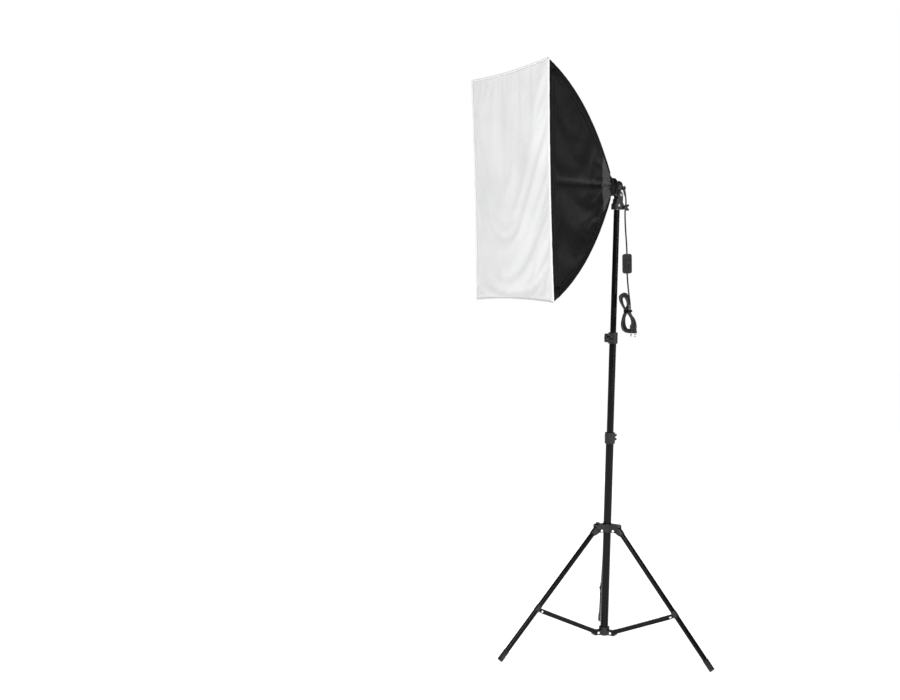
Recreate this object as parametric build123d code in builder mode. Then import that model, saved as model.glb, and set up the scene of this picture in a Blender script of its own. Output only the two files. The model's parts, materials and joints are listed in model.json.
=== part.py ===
from build123d import *
from math import atan2, cos, degrees, hypot, pi, radians, sin, tan
import os

os.makedirs("parts", exist_ok=True)

# Studio softbox on a folding three-leg light stand, in millimetres and degrees.
# The origin is on the column's axis at floor level. +Z is up and the softbox faces -Y.

# ------------------------------------------------------------------ driving sizes
# Column
outer_tube_r = 12.5
tube_wall = 1.2
tube_gap = 0.3
slide_fit = 0.05
screw_fit = 0.05
body_gap = 0.3
column_bottom = 52.0
column_plug_height = 18.0
lower_collar_z = 688.0
upper_collar_z = 1008.0
collar_height = 36.0
collar_wall = 4.0
collar_overlap = 8.0
middle_tube_length = 660.0
top_tube_length = 640.0
bushing_height = 12.0
spigot_r = 8.0
spigot_height = 21.5
spigot_stem = 16.0

# Collar clamps, their bolts and the wing knobs
ear_reach = 16.0
ear_bolt_offset = 10.5
ear_half_width = 8.0
ear_slit = 2.4
ear_height = 28.0
lower_ear_angle = 165.0
upper_ear_angle = 270.0
clamp_screw_r = 3.0
bolt_head_r = 6.0
bolt_head_height = 3.2
bolt_engagement = 12.0
knob_base_r = 7.5
knob_base_height = 8.0
knob_length = 21.0
knob_half_span = 10.0
knob_wing_thickness = 4.0

# Folding legs
leg_angles = (270.0, 30.0, 150.0)
leg_pivot_r = 28.0
leg_pivot_z = 392.0
brace_pivot_z = 62.0
leg_spread = 40.5
leg_tube_r = 8.0
leg_tube_wall = 1.0
leg_axis_offset = 13.0
leg_rivet_distance = 320.2
leg_tube_end_gap = 30.0
pivot_pin_r = 2.5
pivot_eye_r = 5.2
leg_cap_start = 4.0
leg_cap_height = 22.0
leg_tube_start = 6.0
eye_block_reach = 24.0
eye_block_top = 6.0
rivet_head_r = 4.0
rivet_head_height = 1.7
cap_wall = 1.4
foot_wall = 0.9
foot_height = 38.0
foot_tip = 4.0
foot_grip = 20.0
saddle_height = 20.0
saddle_half_width = 9.0
hub_sleeve_wall = 4.5
hub_bottom_z = 386.0
hub_top_z = 412.0
hub_arm_reach = 45.0
hub_web_z = 404.0
hub_slot_half_width = 9.7
hub_skirt = 2.5
lower_hub_height = 27.0
lower_arm_height = 17.0
lower_arm_reach = 43.0
brace_depth = 13.5
brace_wall = 1.2
brace_half_inside = 9.4
brace_web_start = 19.5
brace_web_end_gap = 38.0
lock_knob_r = 6.5
lock_knob_height = 5.0
lock_screw_r = 2.5
lock_radius = 36.0

# Lamp head
head_tilt = 3.1
tilt_axis_y = 5.0
tilt_axis_z = 1463.0
tilt_ear_r = 9.0
tilt_lug_r = 8.8
tilt_lug_half_width = 6.0
tilt_lug_gap = 0.4
clamp_bottom_z = 1416.0
clamp_shoulder_z = 1438.0
clamp_top_z = 1451.0
clamp_half_width = 13.0
clamp_front = 13.0
clamp_rear = 17.0
clamp_upper_front = 8.0
clamp_upper_rear = 14.0
clamp_knob_z = 1424.5
clamp_knob_gap = 6.3
side_screw_z = 1430.0
side_screw_r = 4.5
umbrella_hole_r = 4.2
umbrella_hole_z = 1444.5
lamp_rise = 27.0
holder_rear_r = 17.0
holder_front_r = 21.0
holder_rear = -10.0
rear_cap_round = 9.0
rear_cap_wall = 4.5
holder_split = 3.0
holder_step = 15.0
holder_front = 50.0
holder_wall = 2.5
socket_bore_r = 13.8
socket_floor = 16.0
lamp_cap_r = 13.1
lamp_housing_r = 27.0
lamp_housing_end = 104.0
lamp_tube_r = 6.0
lamp_tube_end = 236.0
lamp_tube_pitch_r = 19.0
lamp_tube_half_gap = 8.0

# Softbox
face_width = 500.0
face_height = 700.0
face_depth = 388.0
fabric = 1.2
fabric_bow = 41.0
panel_rear = 46.0
panel_rear_half_diagonal = 46.0
panel_gap = 0.5
panel_stations = 7
lip_depth = 28.0
diffuser_thickness = 2.0
neck_r = 26.3
neck_start = 15.0
rod_r = 2.0
rod_start = 50.0
rod_start_inset = 15.0
rod_middle_inset = 12.0
rod_front_inset = 9.0
rod_tip_gap = 10.0
rod_hub_start = 41.5
rod_hub_end = 49.5
rod_hub_r = 24.5
rod_socket_r = 3.6
rod_socket_length = 20.0

# Mains lead, its switch, hank, tie and plug
cord_r = 2.5
gland_length = 20.0
gland_tip_r = 3.4
gland_root_r = 4.6
gland_rings = 4
gland_ring_width = 1.2
outlet_boss_r = 6.5
outlet_boss_length = 10.0
switch_top = (30.0, 24.0, 1276.0)
switch_bottom = (32.0, 25.5, 1214.0)
switch_width = 28.0
switch_thickness = 18.0
rocker_length = 20.0
rocker_width = 11.0
rocker_rise = 2.5
upper_route = (
    (18.6, 18.4, 1460.0),
    (20.9, 21.5, 1444.5),
    (21.6, 16.5, 1414.0),
    (24.0, 18.6, 1360.0),
    (28.6, 21.6, 1312.0),
    switch_top,
)
lower_route = (
    switch_bottom,
    (33.8, 27.0, 1188.0),
    (39.6, 29.0, 1150.0),
    (44.6, 33.0, 1113.0),
)
plug_top = (66.9, 32.0, 1064.0)
tail_route = (
    (41.4, 28.9, 1104.0),
    (59.9, 27.3, 1089.0),
    plug_top,
)
hank_side = (0.4226, 0.9063, 0.0)
hank_face = (0.9063, -0.4226, 0.0)
hank_waist = (41.4, 24.9, 1096.0)
hank_half_thickness = 10.0
hank_waist_half = 11.0
upper_lobe = (-10.5, 30.0, 19.0, 32.0, 19.0)
lower_lobe = (5.0, -38.0, 22.0, 37.0, 4.0)
tie_height = 8.0
tie_wall = 2.0
plug_length = 38.0
plug_width = 24.0
plug_thickness = 13.0
plug_pin_r = 2.0
plug_pin_length = 15.0
plug_pin_pitch = 13.0

# ------------------------------------------------------------------ worked-out sizes
middle_tube_r = outer_tube_r - tube_wall - tube_gap
top_tube_r = middle_tube_r - tube_wall - tube_gap
outer_tube_top = lower_collar_z + collar_overlap
middle_tube_top = upper_collar_z + collar_overlap
middle_tube_bottom = middle_tube_top - middle_tube_length
top_tube_top = clamp_bottom_z - 1.0
top_tube_bottom = top_tube_top - top_tube_length
hub_sleeve_r = outer_tube_r + hub_sleeve_wall
brace_half_width = brace_half_inside + brace_wall
leg_axis_r = leg_pivot_r + leg_axis_offset * cos(radians(leg_spread))
leg_axis_z = leg_pivot_z + leg_axis_offset * sin(radians(leg_spread))
leg_length = (leg_axis_z - foot_tip) / cos(radians(leg_spread))
rivet_r = leg_pivot_r + leg_rivet_distance * sin(radians(leg_spread))
rivet_z = leg_pivot_z - leg_rivet_distance * cos(radians(leg_spread))
brace_length = hypot(rivet_r - leg_pivot_r, rivet_z - brace_pivot_z)
brace_rise = degrees(atan2(rivet_z - brace_pivot_z, rivet_r - leg_pivot_r))
fold_stroke = leg_rivet_distance + brace_length - (leg_pivot_z - brace_pivot_z)
print(f"fold: hub rises {fold_stroke:.2f}, legs turn {leg_spread:.2f}, braces turn {90 - brace_rise:.2f}")
print(f"brace length {brace_length:.2f}, rise {brace_rise:.2f}, leg length {leg_length:.2f}")

# ------------------------------------------------------------------ planes
forward = Vector(0, -cos(radians(head_tilt)), -sin(radians(head_tilt)))
head_plane = Plane(origin=(0, tilt_axis_y, tilt_axis_z), x_dir=(1, 0, 0), z_dir=forward)
lamp_origin = head_plane.from_local_coords((0, lamp_rise, 0))
lamp_plane = Plane(origin=lamp_origin, x_dir=(1, 0, 0), z_dir=forward)
lamp_section = Plane(origin=lamp_origin, x_dir=forward, z_dir=(-1, 0, 0))
lamp_axis = Axis(lamp_origin, forward)


def radial_plane(angle, radius=0.0, height=0.0):
    """Plane through the column's axis: x is outward, y is up."""
    side = radians(angle)
    return Plane(
        origin=(radius * cos(side), radius * sin(side), height),
        x_dir=(cos(side), sin(side), 0),
        z_dir=(sin(side), -cos(side), 0),
    )


def tilted_plane(angle, radius, height, rise):
    """Radial plane whose x rises from the horizontal."""
    flat = radial_plane(angle, radius, height)
    along = flat.x_dir * cos(radians(rise)) + Vector(0, 0, 1) * sin(radians(rise))
    return Plane(origin=flat.origin, x_dir=along, z_dir=flat.z_dir)


def leg_side_plane(angle):
    """x runs down the leg from beside its pivot, y points outward from the column."""
    return tilted_plane(angle, leg_axis_r, leg_axis_z, leg_spread - 90)


def leg_end_plane(angle, distance):
    """Plane square to the leg, at a distance down it."""
    side = leg_side_plane(angle)
    return Plane(origin=side.from_local_coords((distance, 0, 0)), x_dir=side.z_dir, z_dir=side.x_dir)


def half_diagonal(depth):
    """Distance from the lamp's axis to the softbox's corner seam."""
    share = (depth - panel_rear) / (face_depth - panel_rear)
    corner = hypot(face_width, face_height) / 2
    straight = panel_rear_half_diagonal + (corner - panel_rear_half_diagonal) * share
    return straight + 4 * fabric_bow * share * (1 - share)


def half_sizes(depth, inset=0.0):
    """Half width and half height of the softbox at a depth in front of the tilt axis."""
    corner = half_diagonal(depth)
    diagonal = hypot(face_width, face_height)
    return (corner * face_width / diagonal - inset, corner * face_height / diagonal - inset)


def box_section(depth, inset=0.0):
    """Rectangle of the softbox at a depth."""
    half_width, half_height = half_sizes(depth, inset)
    with BuildSketch(lamp_plane.offset(depth)) as section:
        Rectangle(2 * half_width, 2 * half_height)
    return section.sketch


def box_sections(start, end, inset=0.0):
    """Evenly spaced rectangles from start to end."""
    steps = panel_stations - 1
    return [box_section(start + (end - start) * step / steps, inset) for step in range(panel_stations)]


# ------------------------------------------------------------------ column
with BuildPart() as outer_tube:
    with BuildSketch(Plane.XY.offset(column_bottom)):
        Circle(outer_tube_r)
        Circle(outer_tube_r - tube_wall, mode=Mode.SUBTRACT)
    extrude(amount=outer_tube_top - column_bottom)
outer_tube.part.label = "outer_tube"
export_step(outer_tube.part, "parts/outer_tube.step")

with BuildPart() as column_end_plug:
    with BuildSketch(Plane.XY.offset(column_bottom)):
        Circle(outer_tube_r - tube_wall)
    extrude(amount=column_plug_height)
    with BuildSketch(Plane.XY.offset(column_bottom - 2)):
        Circle(outer_tube_r)
    extrude(amount=2)
    chamfer(column_end_plug.faces().sort_by(Axis.Z)[0].edges(), length=0.8)
column_end_plug.part.label = "column_end_plug"
export_step(column_end_plug.part, "parts/column_end_plug.step")

with BuildPart() as middle_tube:
    with BuildSketch(Plane.XY.offset(middle_tube_bottom)):
        Circle(middle_tube_r)
        Circle(middle_tube_r - tube_wall, mode=Mode.SUBTRACT)
    extrude(amount=middle_tube_length)
middle_tube.part.label = "middle_tube"
export_step(middle_tube.part, "parts/middle_tube.step")

with BuildPart() as top_tube:
    with BuildSketch(Plane.XY.offset(top_tube_bottom)):
        Circle(top_tube_r)
        Circle(top_tube_r - tube_wall, mode=Mode.SUBTRACT)
    extrude(amount=top_tube_length)
top_tube.part.label = "top_tube"
export_step(top_tube.part, "parts/top_tube.step")


def make_bushing(label, tube_r, tube_end, guide_r):
    """Plug in a tube's lower end whose rim slides in the next tube."""
    with BuildPart() as bushing:
        with BuildSketch(Plane.XY.offset(tube_end - bushing_height)):
            Circle(guide_r - slide_fit)
        extrude(amount=bushing_height)
        with BuildSketch(Plane.XY.offset(tube_end)):
            Circle(tube_r - tube_wall)
        extrude(amount=bushing_height)
    bushing.part.label = label
    export_step(bushing.part, f"parts/{label}.step")


make_bushing("middle_bushing", middle_tube_r, middle_tube_bottom, outer_tube_r - tube_wall)
make_bushing("top_bushing", top_tube_r, top_tube_bottom, middle_tube_r - tube_wall)

with BuildPart() as stand_spigot:
    with BuildSketch(Plane.XY.offset(top_tube_top - spigot_stem)):
        Circle(top_tube_r - tube_wall)
    extrude(amount=spigot_stem)
    with BuildSketch(Plane.XY.offset(top_tube_top)):
        Circle(spigot_r)
    extrude(amount=spigot_height)
    chamfer(stand_spigot.faces().sort_by(Axis.Z)[-1].edges(), length=1.0)
stand_spigot.part.label = "stand_spigot"
export_step(stand_spigot.part, "parts/stand_spigot.step")


def make_collar(label, height, tube_r, guide_r, ear_angle):
    """Split collar: it grips one tube's end and clamps the tube that slides in it."""
    ears = radial_plane(ear_angle, 0, height)
    reach = tube_r + ear_reach
    with BuildPart() as collar:
        with BuildSketch(Plane.XY.offset(height - collar_height / 2)):
            Circle(tube_r + collar_wall)
        extrude(amount=collar_height)
        chamfer(collar.edges().filter_by(GeomType.CIRCLE), length=1.0)
        with BuildSketch(ears):
            with Locations((tube_r + (ear_reach - 1) / 2, 0)):
                Rectangle(ear_reach + 1, ear_height)
        extrude(amount=ear_half_width, both=True)
        fillet(
            collar.edges().filter_by(Axis(origin=ears.origin, direction=ears.z_dir)).filter_by(
                lambda edge: hypot(edge.center().X, edge.center().Y) > reach - 1
            ),
            radius=4,
        )
        with BuildSketch(Plane.XY.offset(height - collar_height / 2)):
            Circle(tube_r)
        extrude(amount=collar_height / 2 + collar_overlap, mode=Mode.SUBTRACT)
        with BuildSketch(Plane.XY.offset(height)):
            Circle(guide_r + slide_fit)
        extrude(amount=collar_height / 2, mode=Mode.SUBTRACT)
        with BuildSketch(ears):
            with Locations((guide_r + reach / 2, 0)):
                Rectangle(reach, 2 * collar_height)
        extrude(amount=ear_slit / 2, both=True, mode=Mode.SUBTRACT)
        with BuildSketch(radial_plane(ear_angle, tube_r + ear_bolt_offset, height)):
            Circle(clamp_screw_r)
        extrude(amount=2 * ear_half_width, both=True, mode=Mode.SUBTRACT)
    collar.part.label = label
    export_step(collar.part, f"parts/{label}.step")


def bolt_plane(height, tube_r, ear_angle, facing):
    """Plane square to a collar's bolt, with its x up; facing (1 or -1) says which way the bolt points."""
    flat = radial_plane(ear_angle, tube_r + ear_bolt_offset, height)
    return Plane(origin=flat.origin, x_dir=(0, 0, 1), z_dir=flat.z_dir * facing)


def make_collar_bolt(label, across):
    """Carriage bolt through a collar's ears, with its head on one side."""
    with BuildPart() as bolt:
        with BuildSketch(across.offset(-ear_half_width)):
            Circle(clamp_screw_r)
        extrude(amount=2 * ear_half_width + bolt_engagement)
        with BuildSketch(across.offset(-ear_half_width)):
            Circle(bolt_head_r)
        extrude(amount=-bolt_head_height)
        fillet(bolt.edges().sort_by(Axis(origin=across.origin, direction=across.z_dir))[0], radius=2)
    bolt.part.label = label
    export_step(bolt.part, f"parts/{label}.step")


def make_wing_knob(label, seat, bore_r, bore_depth, screw_length=0):
    """Two-winged knob that stands on a plane, with a blind bore or a screw of its own."""
    wings = Plane(origin=seat.origin, x_dir=seat.x_dir, z_dir=-seat.y_dir)
    with BuildPart() as knob:
        with BuildSketch(seat):
            Circle(knob_base_r)
        extrude(amount=knob_base_height, taper=6)
        with BuildSketch(wings) as wing_outline:
            with BuildLine():
                Polyline(
                    (0, 1),
                    (4, 1),
                    (knob_half_span, knob_length * 0.5),
                    (knob_half_span, knob_length),
                    (knob_half_span * 0.5, knob_length),
                    (0, knob_length * 0.7),
                    (-knob_half_span * 0.5, knob_length),
                    (-knob_half_span, knob_length),
                    (-knob_half_span, knob_length * 0.5),
                    (-4, 1),
                    close=True,
                )
            make_face()
            fillet(wing_outline.vertices().filter_by(lambda corner: corner.distance_to(seat.origin) > 10), radius=1.4)
        extrude(amount=knob_wing_thickness / 2, both=True)
        if screw_length:
            with BuildSketch(seat):
                Circle(clamp_screw_r)
            extrude(amount=-screw_length)
        else:
            with BuildSketch(seat):
                Circle(bore_r)
            extrude(amount=bore_depth, mode=Mode.SUBTRACT)
    knob.part.label = label
    export_step(knob.part, f"parts/{label}.step")


make_collar("lower_collar", lower_collar_z, outer_tube_r, middle_tube_r, lower_ear_angle)
lower_bolt = bolt_plane(lower_collar_z, outer_tube_r, lower_ear_angle, 1)
make_collar_bolt("lower_collar_bolt", lower_bolt)
lower_seat = lower_bolt.offset(ear_half_width + body_gap)
make_wing_knob("lower_collar_knob", lower_seat, clamp_screw_r + screw_fit, bolt_engagement + 1)
make_collar("upper_collar", upper_collar_z, middle_tube_r, top_tube_r, upper_ear_angle)
upper_bolt = bolt_plane(upper_collar_z, middle_tube_r, upper_ear_angle, -1)
make_collar_bolt("upper_collar_bolt", upper_bolt)
upper_seat = upper_bolt.offset(ear_half_width + body_gap)
make_wing_knob("upper_collar_knob", upper_seat, clamp_screw_r + screw_fit, bolt_engagement + 1)

# ------------------------------------------------------------------ hubs and their pivot pins
with BuildPart() as lower_hub:
    with BuildSketch(Plane.XY.offset(column_bottom)):
        Circle(hub_sleeve_r)
    extrude(amount=lower_hub_height)
    chamfer(lower_hub.edges().group_by(Axis.Z)[-1], length=1.5)
    for angle in leg_angles:
        with BuildSketch(radial_plane(angle)) as arm_outline:
            with BuildLine():
                Polyline(
                    (outer_tube_r, column_bottom + 1.5),
                    (lower_arm_reach - 4, column_bottom + 1.5),
                    (lower_arm_reach, column_bottom + 5.5),
                    (lower_arm_reach, column_bottom + lower_arm_height - 3),
                    (lower_arm_reach - 3, column_bottom + lower_arm_height),
                    (outer_tube_r, column_bottom + lower_arm_height),
                    close=True,
                )
            make_face()
        extrude(amount=saddle_half_width, both=True)
    with BuildSketch(Plane.XY.offset(column_bottom)):
        Circle(outer_tube_r)
    extrude(amount=lower_hub_height, mode=Mode.SUBTRACT)
    for angle in leg_angles:
        with BuildSketch(radial_plane(angle, leg_pivot_r, brace_pivot_z)):
            Circle(pivot_pin_r)
        extrude(amount=2 * brace_half_width, both=True, mode=Mode.SUBTRACT)
lower_hub.part.label = "lower_hub"
export_step(lower_hub.part, "parts/lower_hub.step")


def pivot_pins(radius, height, half_length):
    """Headed pins, one across each arm of a hub."""
    with BuildPart() as pins:
        for angle in leg_angles:
            across = radial_plane(angle, radius, height)
            with BuildSketch(across):
                Circle(pivot_pin_r)
            extrude(amount=half_length, both=True)
            for side in (-1, 1):
                with BuildSketch(across.offset(side * half_length)):
                    Circle(rivet_head_r)
                extrude(amount=side * rivet_head_height)
    return pins


brace_pivot_pins = pivot_pins(leg_pivot_r, brace_pivot_z, brace_half_width + body_gap)
brace_pivot_pins.part.label = "brace_pivot_pins"
export_step(brace_pivot_pins.part, "parts/brace_pivot_pins.step")

with BuildPart() as sliding_hub:
    hub_half_width = hub_slot_half_width + hub_skirt
    with BuildSketch(Plane.XY.offset(hub_bottom_z)):
        Circle(hub_sleeve_r)
    extrude(amount=hub_top_z - hub_bottom_z)
    for angle in leg_angles:
        with BuildSketch(radial_plane(angle)):
            with BuildLine():
                Polyline(
                    (outer_tube_r, hub_bottom_z),
                    (leg_pivot_r + 6, hub_bottom_z),
                    (leg_pivot_r + 9, hub_bottom_z + 9),
                    (hub_arm_reach, hub_bottom_z + 14),
                    (hub_arm_reach, hub_top_z - 3),
                    (hub_arm_reach - 4, hub_top_z),
                    (outer_tube_r, hub_top_z),
                    close=True,
                )
            make_face()
        extrude(amount=hub_half_width, both=True)
    for angle in leg_angles:
        with BuildSketch(radial_plane(angle)):
            with BuildLine():
                Polyline(
                    (hub_sleeve_r + body_gap, hub_bottom_z - 5),
                    (hub_arm_reach + 5, hub_bottom_z - 5),
                    (hub_arm_reach + 5, hub_web_z),
                    (hub_sleeve_r + body_gap, hub_web_z),
                    close=True,
                )
            make_face()
        extrude(amount=hub_slot_half_width, both=True, mode=Mode.SUBTRACT)
    with BuildSketch(Plane.XY.offset(hub_bottom_z)):
        Circle(outer_tube_r + slide_fit)
    extrude(amount=hub_top_z - hub_bottom_z, mode=Mode.SUBTRACT)
    for angle in leg_angles:
        with BuildSketch(radial_plane(angle, leg_pivot_r, leg_pivot_z)):
            Circle(pivot_pin_r)
        extrude(amount=2 * hub_half_width, both=True, mode=Mode.SUBTRACT)
    with BuildSketch(Plane.XY.offset(hub_web_z)):
        with Locations((0, -lock_radius)):
            Circle(lock_screw_r + screw_fit)
    extrude(amount=hub_top_z - hub_web_z, mode=Mode.SUBTRACT)
sliding_hub.part.label = "sliding_hub"
export_step(sliding_hub.part, "parts/sliding_hub.step")

leg_pivot_pins = pivot_pins(leg_pivot_r, leg_pivot_z, hub_half_width)
leg_pivot_pins.part.label = "leg_pivot_pins"
export_step(leg_pivot_pins.part, "parts/leg_pivot_pins.step")

with BuildPart() as hub_lock_knob:
    with BuildSketch(Plane.XY.offset(hub_top_z + body_gap)):
        with Locations((0, -lock_radius)):
            Circle(lock_knob_r)
    extrude(amount=lock_knob_height)
    with BuildSketch(Plane.XY.offset(hub_top_z + body_gap)):
        with Locations((0, -lock_radius)):
            with PolarLocations(lock_knob_r, 16):
                Circle(0.6)
    extrude(amount=lock_knob_height, mode=Mode.SUBTRACT)
    with BuildSketch(Plane.XY.offset(hub_top_z + body_gap)):
        with Locations((0, -lock_radius)):
            Circle(lock_screw_r)
    extrude(amount=-(hub_top_z - hub_web_z))
hub_lock_knob.part.label = "hub_lock_knob"
export_step(hub_lock_knob.part, "parts/hub_lock_knob.step")


# ------------------------------------------------------------------ legs and braces
def make_leg(number, angle):
    """Tube, fittings (top cap with its pivot eye, brace saddle) and rubber foot of one leg."""
    side = leg_side_plane(angle)
    with BuildPart() as leg_tube:
        with BuildSketch(leg_end_plane(angle, leg_tube_start)):
            Circle(leg_tube_r)
            Circle(leg_tube_r - leg_tube_wall, mode=Mode.SUBTRACT)
        extrude(amount=leg_length - leg_tube_end_gap + leg_tube_start)
    leg_tube.part.label = f"leg_tube_{number}"
    export_step(leg_tube.part, f"parts/leg_tube_{number}.step")

    with BuildPart() as leg_fittings:
        with BuildSketch(leg_end_plane(angle, leg_cap_start)):
            Circle(leg_tube_r + cap_wall)
        extrude(amount=leg_cap_height)
        with BuildSketch(side):
            with BuildLine():
                Polyline(
                    (-pivot_eye_r, -leg_axis_offset),
                    (-pivot_eye_r, -eye_block_top),
                    (leg_cap_start, 0),
                    (eye_block_reach, 0),
                    (eye_block_reach, -leg_tube_r),
                    (2 * pivot_eye_r, -leg_axis_offset),
                    close=True,
                )
            make_face()
            with Locations((0, -leg_axis_offset)):
                Circle(pivot_eye_r)
        extrude(amount=saddle_half_width, both=True)
        with BuildSketch(leg_end_plane(angle, leg_rivet_distance - saddle_height / 2)):
            Circle(saddle_half_width)
        extrude(amount=saddle_height)
        with BuildSketch(side):
            with Locations((leg_rivet_distance, -leg_axis_offset / 2)):
                Rectangle(2 * pivot_eye_r, leg_axis_offset)
            with Locations((leg_rivet_distance, -leg_axis_offset)):
                Circle(pivot_eye_r)
        extrude(amount=saddle_half_width, both=True)
        with BuildSketch(leg_end_plane(angle, leg_tube_start)):
            Circle(leg_tube_r)
        extrude(amount=leg_length, mode=Mode.SUBTRACT)
        with BuildSketch(side):
            with Locations((0, -leg_axis_offset)):
                Circle(pivot_pin_r + slide_fit)
            with Locations((leg_rivet_distance, -leg_axis_offset)):
                Circle(pivot_pin_r)
        extrude(amount=2 * saddle_half_width, both=True, mode=Mode.SUBTRACT)
    leg_fittings.part.label = f"leg_fittings_{number}"
    export_step(leg_fittings.part, f"parts/leg_fittings_{number}.step")

    with BuildPart() as foot:
        with BuildSketch(leg_end_plane(angle, leg_length - foot_height)):
            Circle(leg_tube_r + foot_wall)
        extrude(amount=foot_height)
        fillet(foot.edges().sort_by(Axis.Z)[0], radius=2)
        with BuildSketch(leg_end_plane(angle, leg_length - foot_height)):
            Circle(leg_tube_r)
        extrude(amount=foot_grip, mode=Mode.SUBTRACT)
        split(bisect_by=Plane.XY, keep=Keep.TOP)
    foot.part.label = f"foot_{number}"
    export_step(foot.part, f"parts/foot_{number}.step")


def make_brace(number, angle):
    """Channel from the lower hub to the leg, open below, with a half rivet in each flange."""
    along = tilted_plane(angle, leg_pivot_r, brace_pivot_z, brace_rise)
    middle = brace_length / 2
    with BuildPart() as brace:
        with BuildSketch(along):
            with Locations((middle, 0)):
                SlotCenterToCenter(brace_length, brace_depth)
        extrude(amount=brace_half_width, both=True)
        with BuildSketch(along):
            with Locations((middle, 0)):
                Rectangle(2 * brace_length, 2 * brace_depth)
            web_length = brace_length - brace_web_start - brace_web_end_gap
            with Locations((brace_web_start + web_length / 2, brace_depth)):
                Rectangle(web_length, brace_depth + 2 * brace_wall, mode=Mode.SUBTRACT)
        extrude(amount=brace_half_inside, both=True, mode=Mode.SUBTRACT)
        with BuildSketch(along):
            Circle(pivot_pin_r + slide_fit)
            with Locations((brace_length, 0)):
                Circle(pivot_pin_r)
        extrude(amount=2 * brace_half_width, both=True, mode=Mode.SUBTRACT)
        far_end = Plane(origin=along.from_local_coords((brace_length, 0, 0)), x_dir=along.x_dir, z_dir=along.z_dir)
        for side in (-1, 1):
            with BuildSketch(far_end.offset(side * brace_half_inside)):
                Circle(pivot_pin_r)
            extrude(amount=side * brace_wall)
            with BuildSketch(far_end.offset(side * brace_half_width)):
                Circle(rivet_head_r)
            extrude(amount=side * rivet_head_height)
    brace.part.label = f"brace_{number}"
    export_step(brace.part, f"parts/brace_{number}.step")


for number, angle in enumerate(leg_angles, start=1):
    make_leg(number, angle)
    make_brace(number, angle)

# ------------------------------------------------------------------ swivel clamp on the spigot
tilt_section = Plane(origin=(0, 0, 0), x_dir=(0, 1, 0), z_dir=(1, 0, 0))
tilt_bolt_r = clamp_screw_r
with BuildPart() as swivel_clamp:
    with BuildSketch(tilt_section):
        with BuildLine():
            Polyline(
                (-clamp_front, clamp_bottom_z),
                (clamp_rear, clamp_bottom_z),
                (clamp_rear, clamp_shoulder_z - 3),
                (clamp_upper_rear, clamp_shoulder_z),
                (clamp_upper_rear, clamp_top_z),
                (-clamp_upper_front + 3, clamp_top_z),
                (-clamp_upper_front, clamp_top_z - 3),
                (-clamp_upper_front, clamp_shoulder_z),
                (-clamp_front, clamp_shoulder_z - 5),
                close=True,
            )
        make_face()
        with Locations((tilt_axis_y, (clamp_top_z + tilt_axis_z) / 2 - 2)):
            Rectangle(2 * tilt_ear_r, tilt_axis_z - clamp_top_z + 4)
        with Locations((tilt_axis_y, tilt_axis_z)):
            Circle(tilt_ear_r)
    extrude(amount=clamp_half_width, both=True)
    with BuildSketch(tilt_section):
        with Locations((tilt_axis_y, clamp_top_z + 20)):
            Rectangle(60, 40)
    extrude(amount=tilt_lug_half_width + tilt_lug_gap, both=True, mode=Mode.SUBTRACT)
    with BuildSketch(Plane.XY.offset(clamp_bottom_z)):
        Circle(spigot_r + slide_fit)
    extrude(amount=top_tube_top + spigot_height - clamp_bottom_z + body_gap, mode=Mode.SUBTRACT)
    with BuildSketch(tilt_section):
        with Locations((tilt_axis_y, tilt_axis_z)):
            Circle(tilt_bolt_r)
    extrude(amount=2 * clamp_half_width, both=True, mode=Mode.SUBTRACT)
    with BuildSketch(Plane.XZ):
        with Locations((0, umbrella_hole_z)):
            Circle(umbrella_hole_r)
    extrude(amount=60, both=True, mode=Mode.SUBTRACT)
    with BuildSketch(Plane.XZ):
        with Locations((0, clamp_knob_z)):
            Circle(clamp_screw_r + screw_fit)
    extrude(amount=-60, mode=Mode.SUBTRACT)
swivel_clamp.part.label = "swivel_clamp"
export_step(swivel_clamp.part, "parts/swivel_clamp.step")

knob_seat = Plane(origin=(0, clamp_rear + clamp_knob_gap, clamp_knob_z), x_dir=(0, 0, 1), z_dir=(0, 1, 0))
make_wing_knob("clamp_knob", knob_seat, 0, 0, clamp_rear + clamp_knob_gap - spigot_r - body_gap)

tilt_bolt_plane = Plane(origin=(0, tilt_axis_y, tilt_axis_z), x_dir=(0, 1, 0), z_dir=(1, 0, 0))
with BuildPart() as swivel_fasteners:
    side_seat = Plane(origin=(clamp_half_width, 0, side_screw_z), x_dir=(0, 1, 0), z_dir=(1, 0, 0))
    with BuildSketch(side_seat):
        Circle(side_screw_r)
    extrude(amount=2.4)
    fillet(swivel_fasteners.edges().group_by(Axis.X)[-1], radius=1)
    with BuildSketch(side_seat.offset(1.6)):
        Rectangle(1, 2 * side_screw_r, rotation=25)
    extrude(amount=1, mode=Mode.SUBTRACT)
    with BuildSketch(tilt_bolt_plane.offset(-clamp_half_width - bolt_engagement)):
        Circle(tilt_bolt_r)
    extrude(amount=2 * clamp_half_width + bolt_engagement)
    with BuildSketch(tilt_bolt_plane.offset(clamp_half_width)):
        RegularPolygon(6, 6)
    extrude(amount=4)
    with BuildSketch(tilt_bolt_plane.offset(clamp_half_width + 4)):
        Circle(4.2)
    extrude(amount=1.2, taper=30)
swivel_fasteners.part.label = "swivel_fasteners"
export_step(swivel_fasteners.part, "parts/swivel_fasteners.step")

tilt_knob_seat = Plane(
    origin=(-clamp_half_width - body_gap, tilt_axis_y, tilt_axis_z),
    x_dir=(0, 1, 0),
    z_dir=(-1, 0, 0),
)
make_wing_knob("tilt_knob", tilt_knob_seat, tilt_bolt_r + screw_fit, bolt_engagement + 1)

# ------------------------------------------------------------------ lamp holder
outlet = Vector(*upper_route[0])
outlet_way = (Vector(*upper_route[1]) - outlet).normalized()
gland_root = outlet - outlet_way * gland_length
gland_plane = Plane(origin=gland_root, z_dir=outlet_way)

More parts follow.
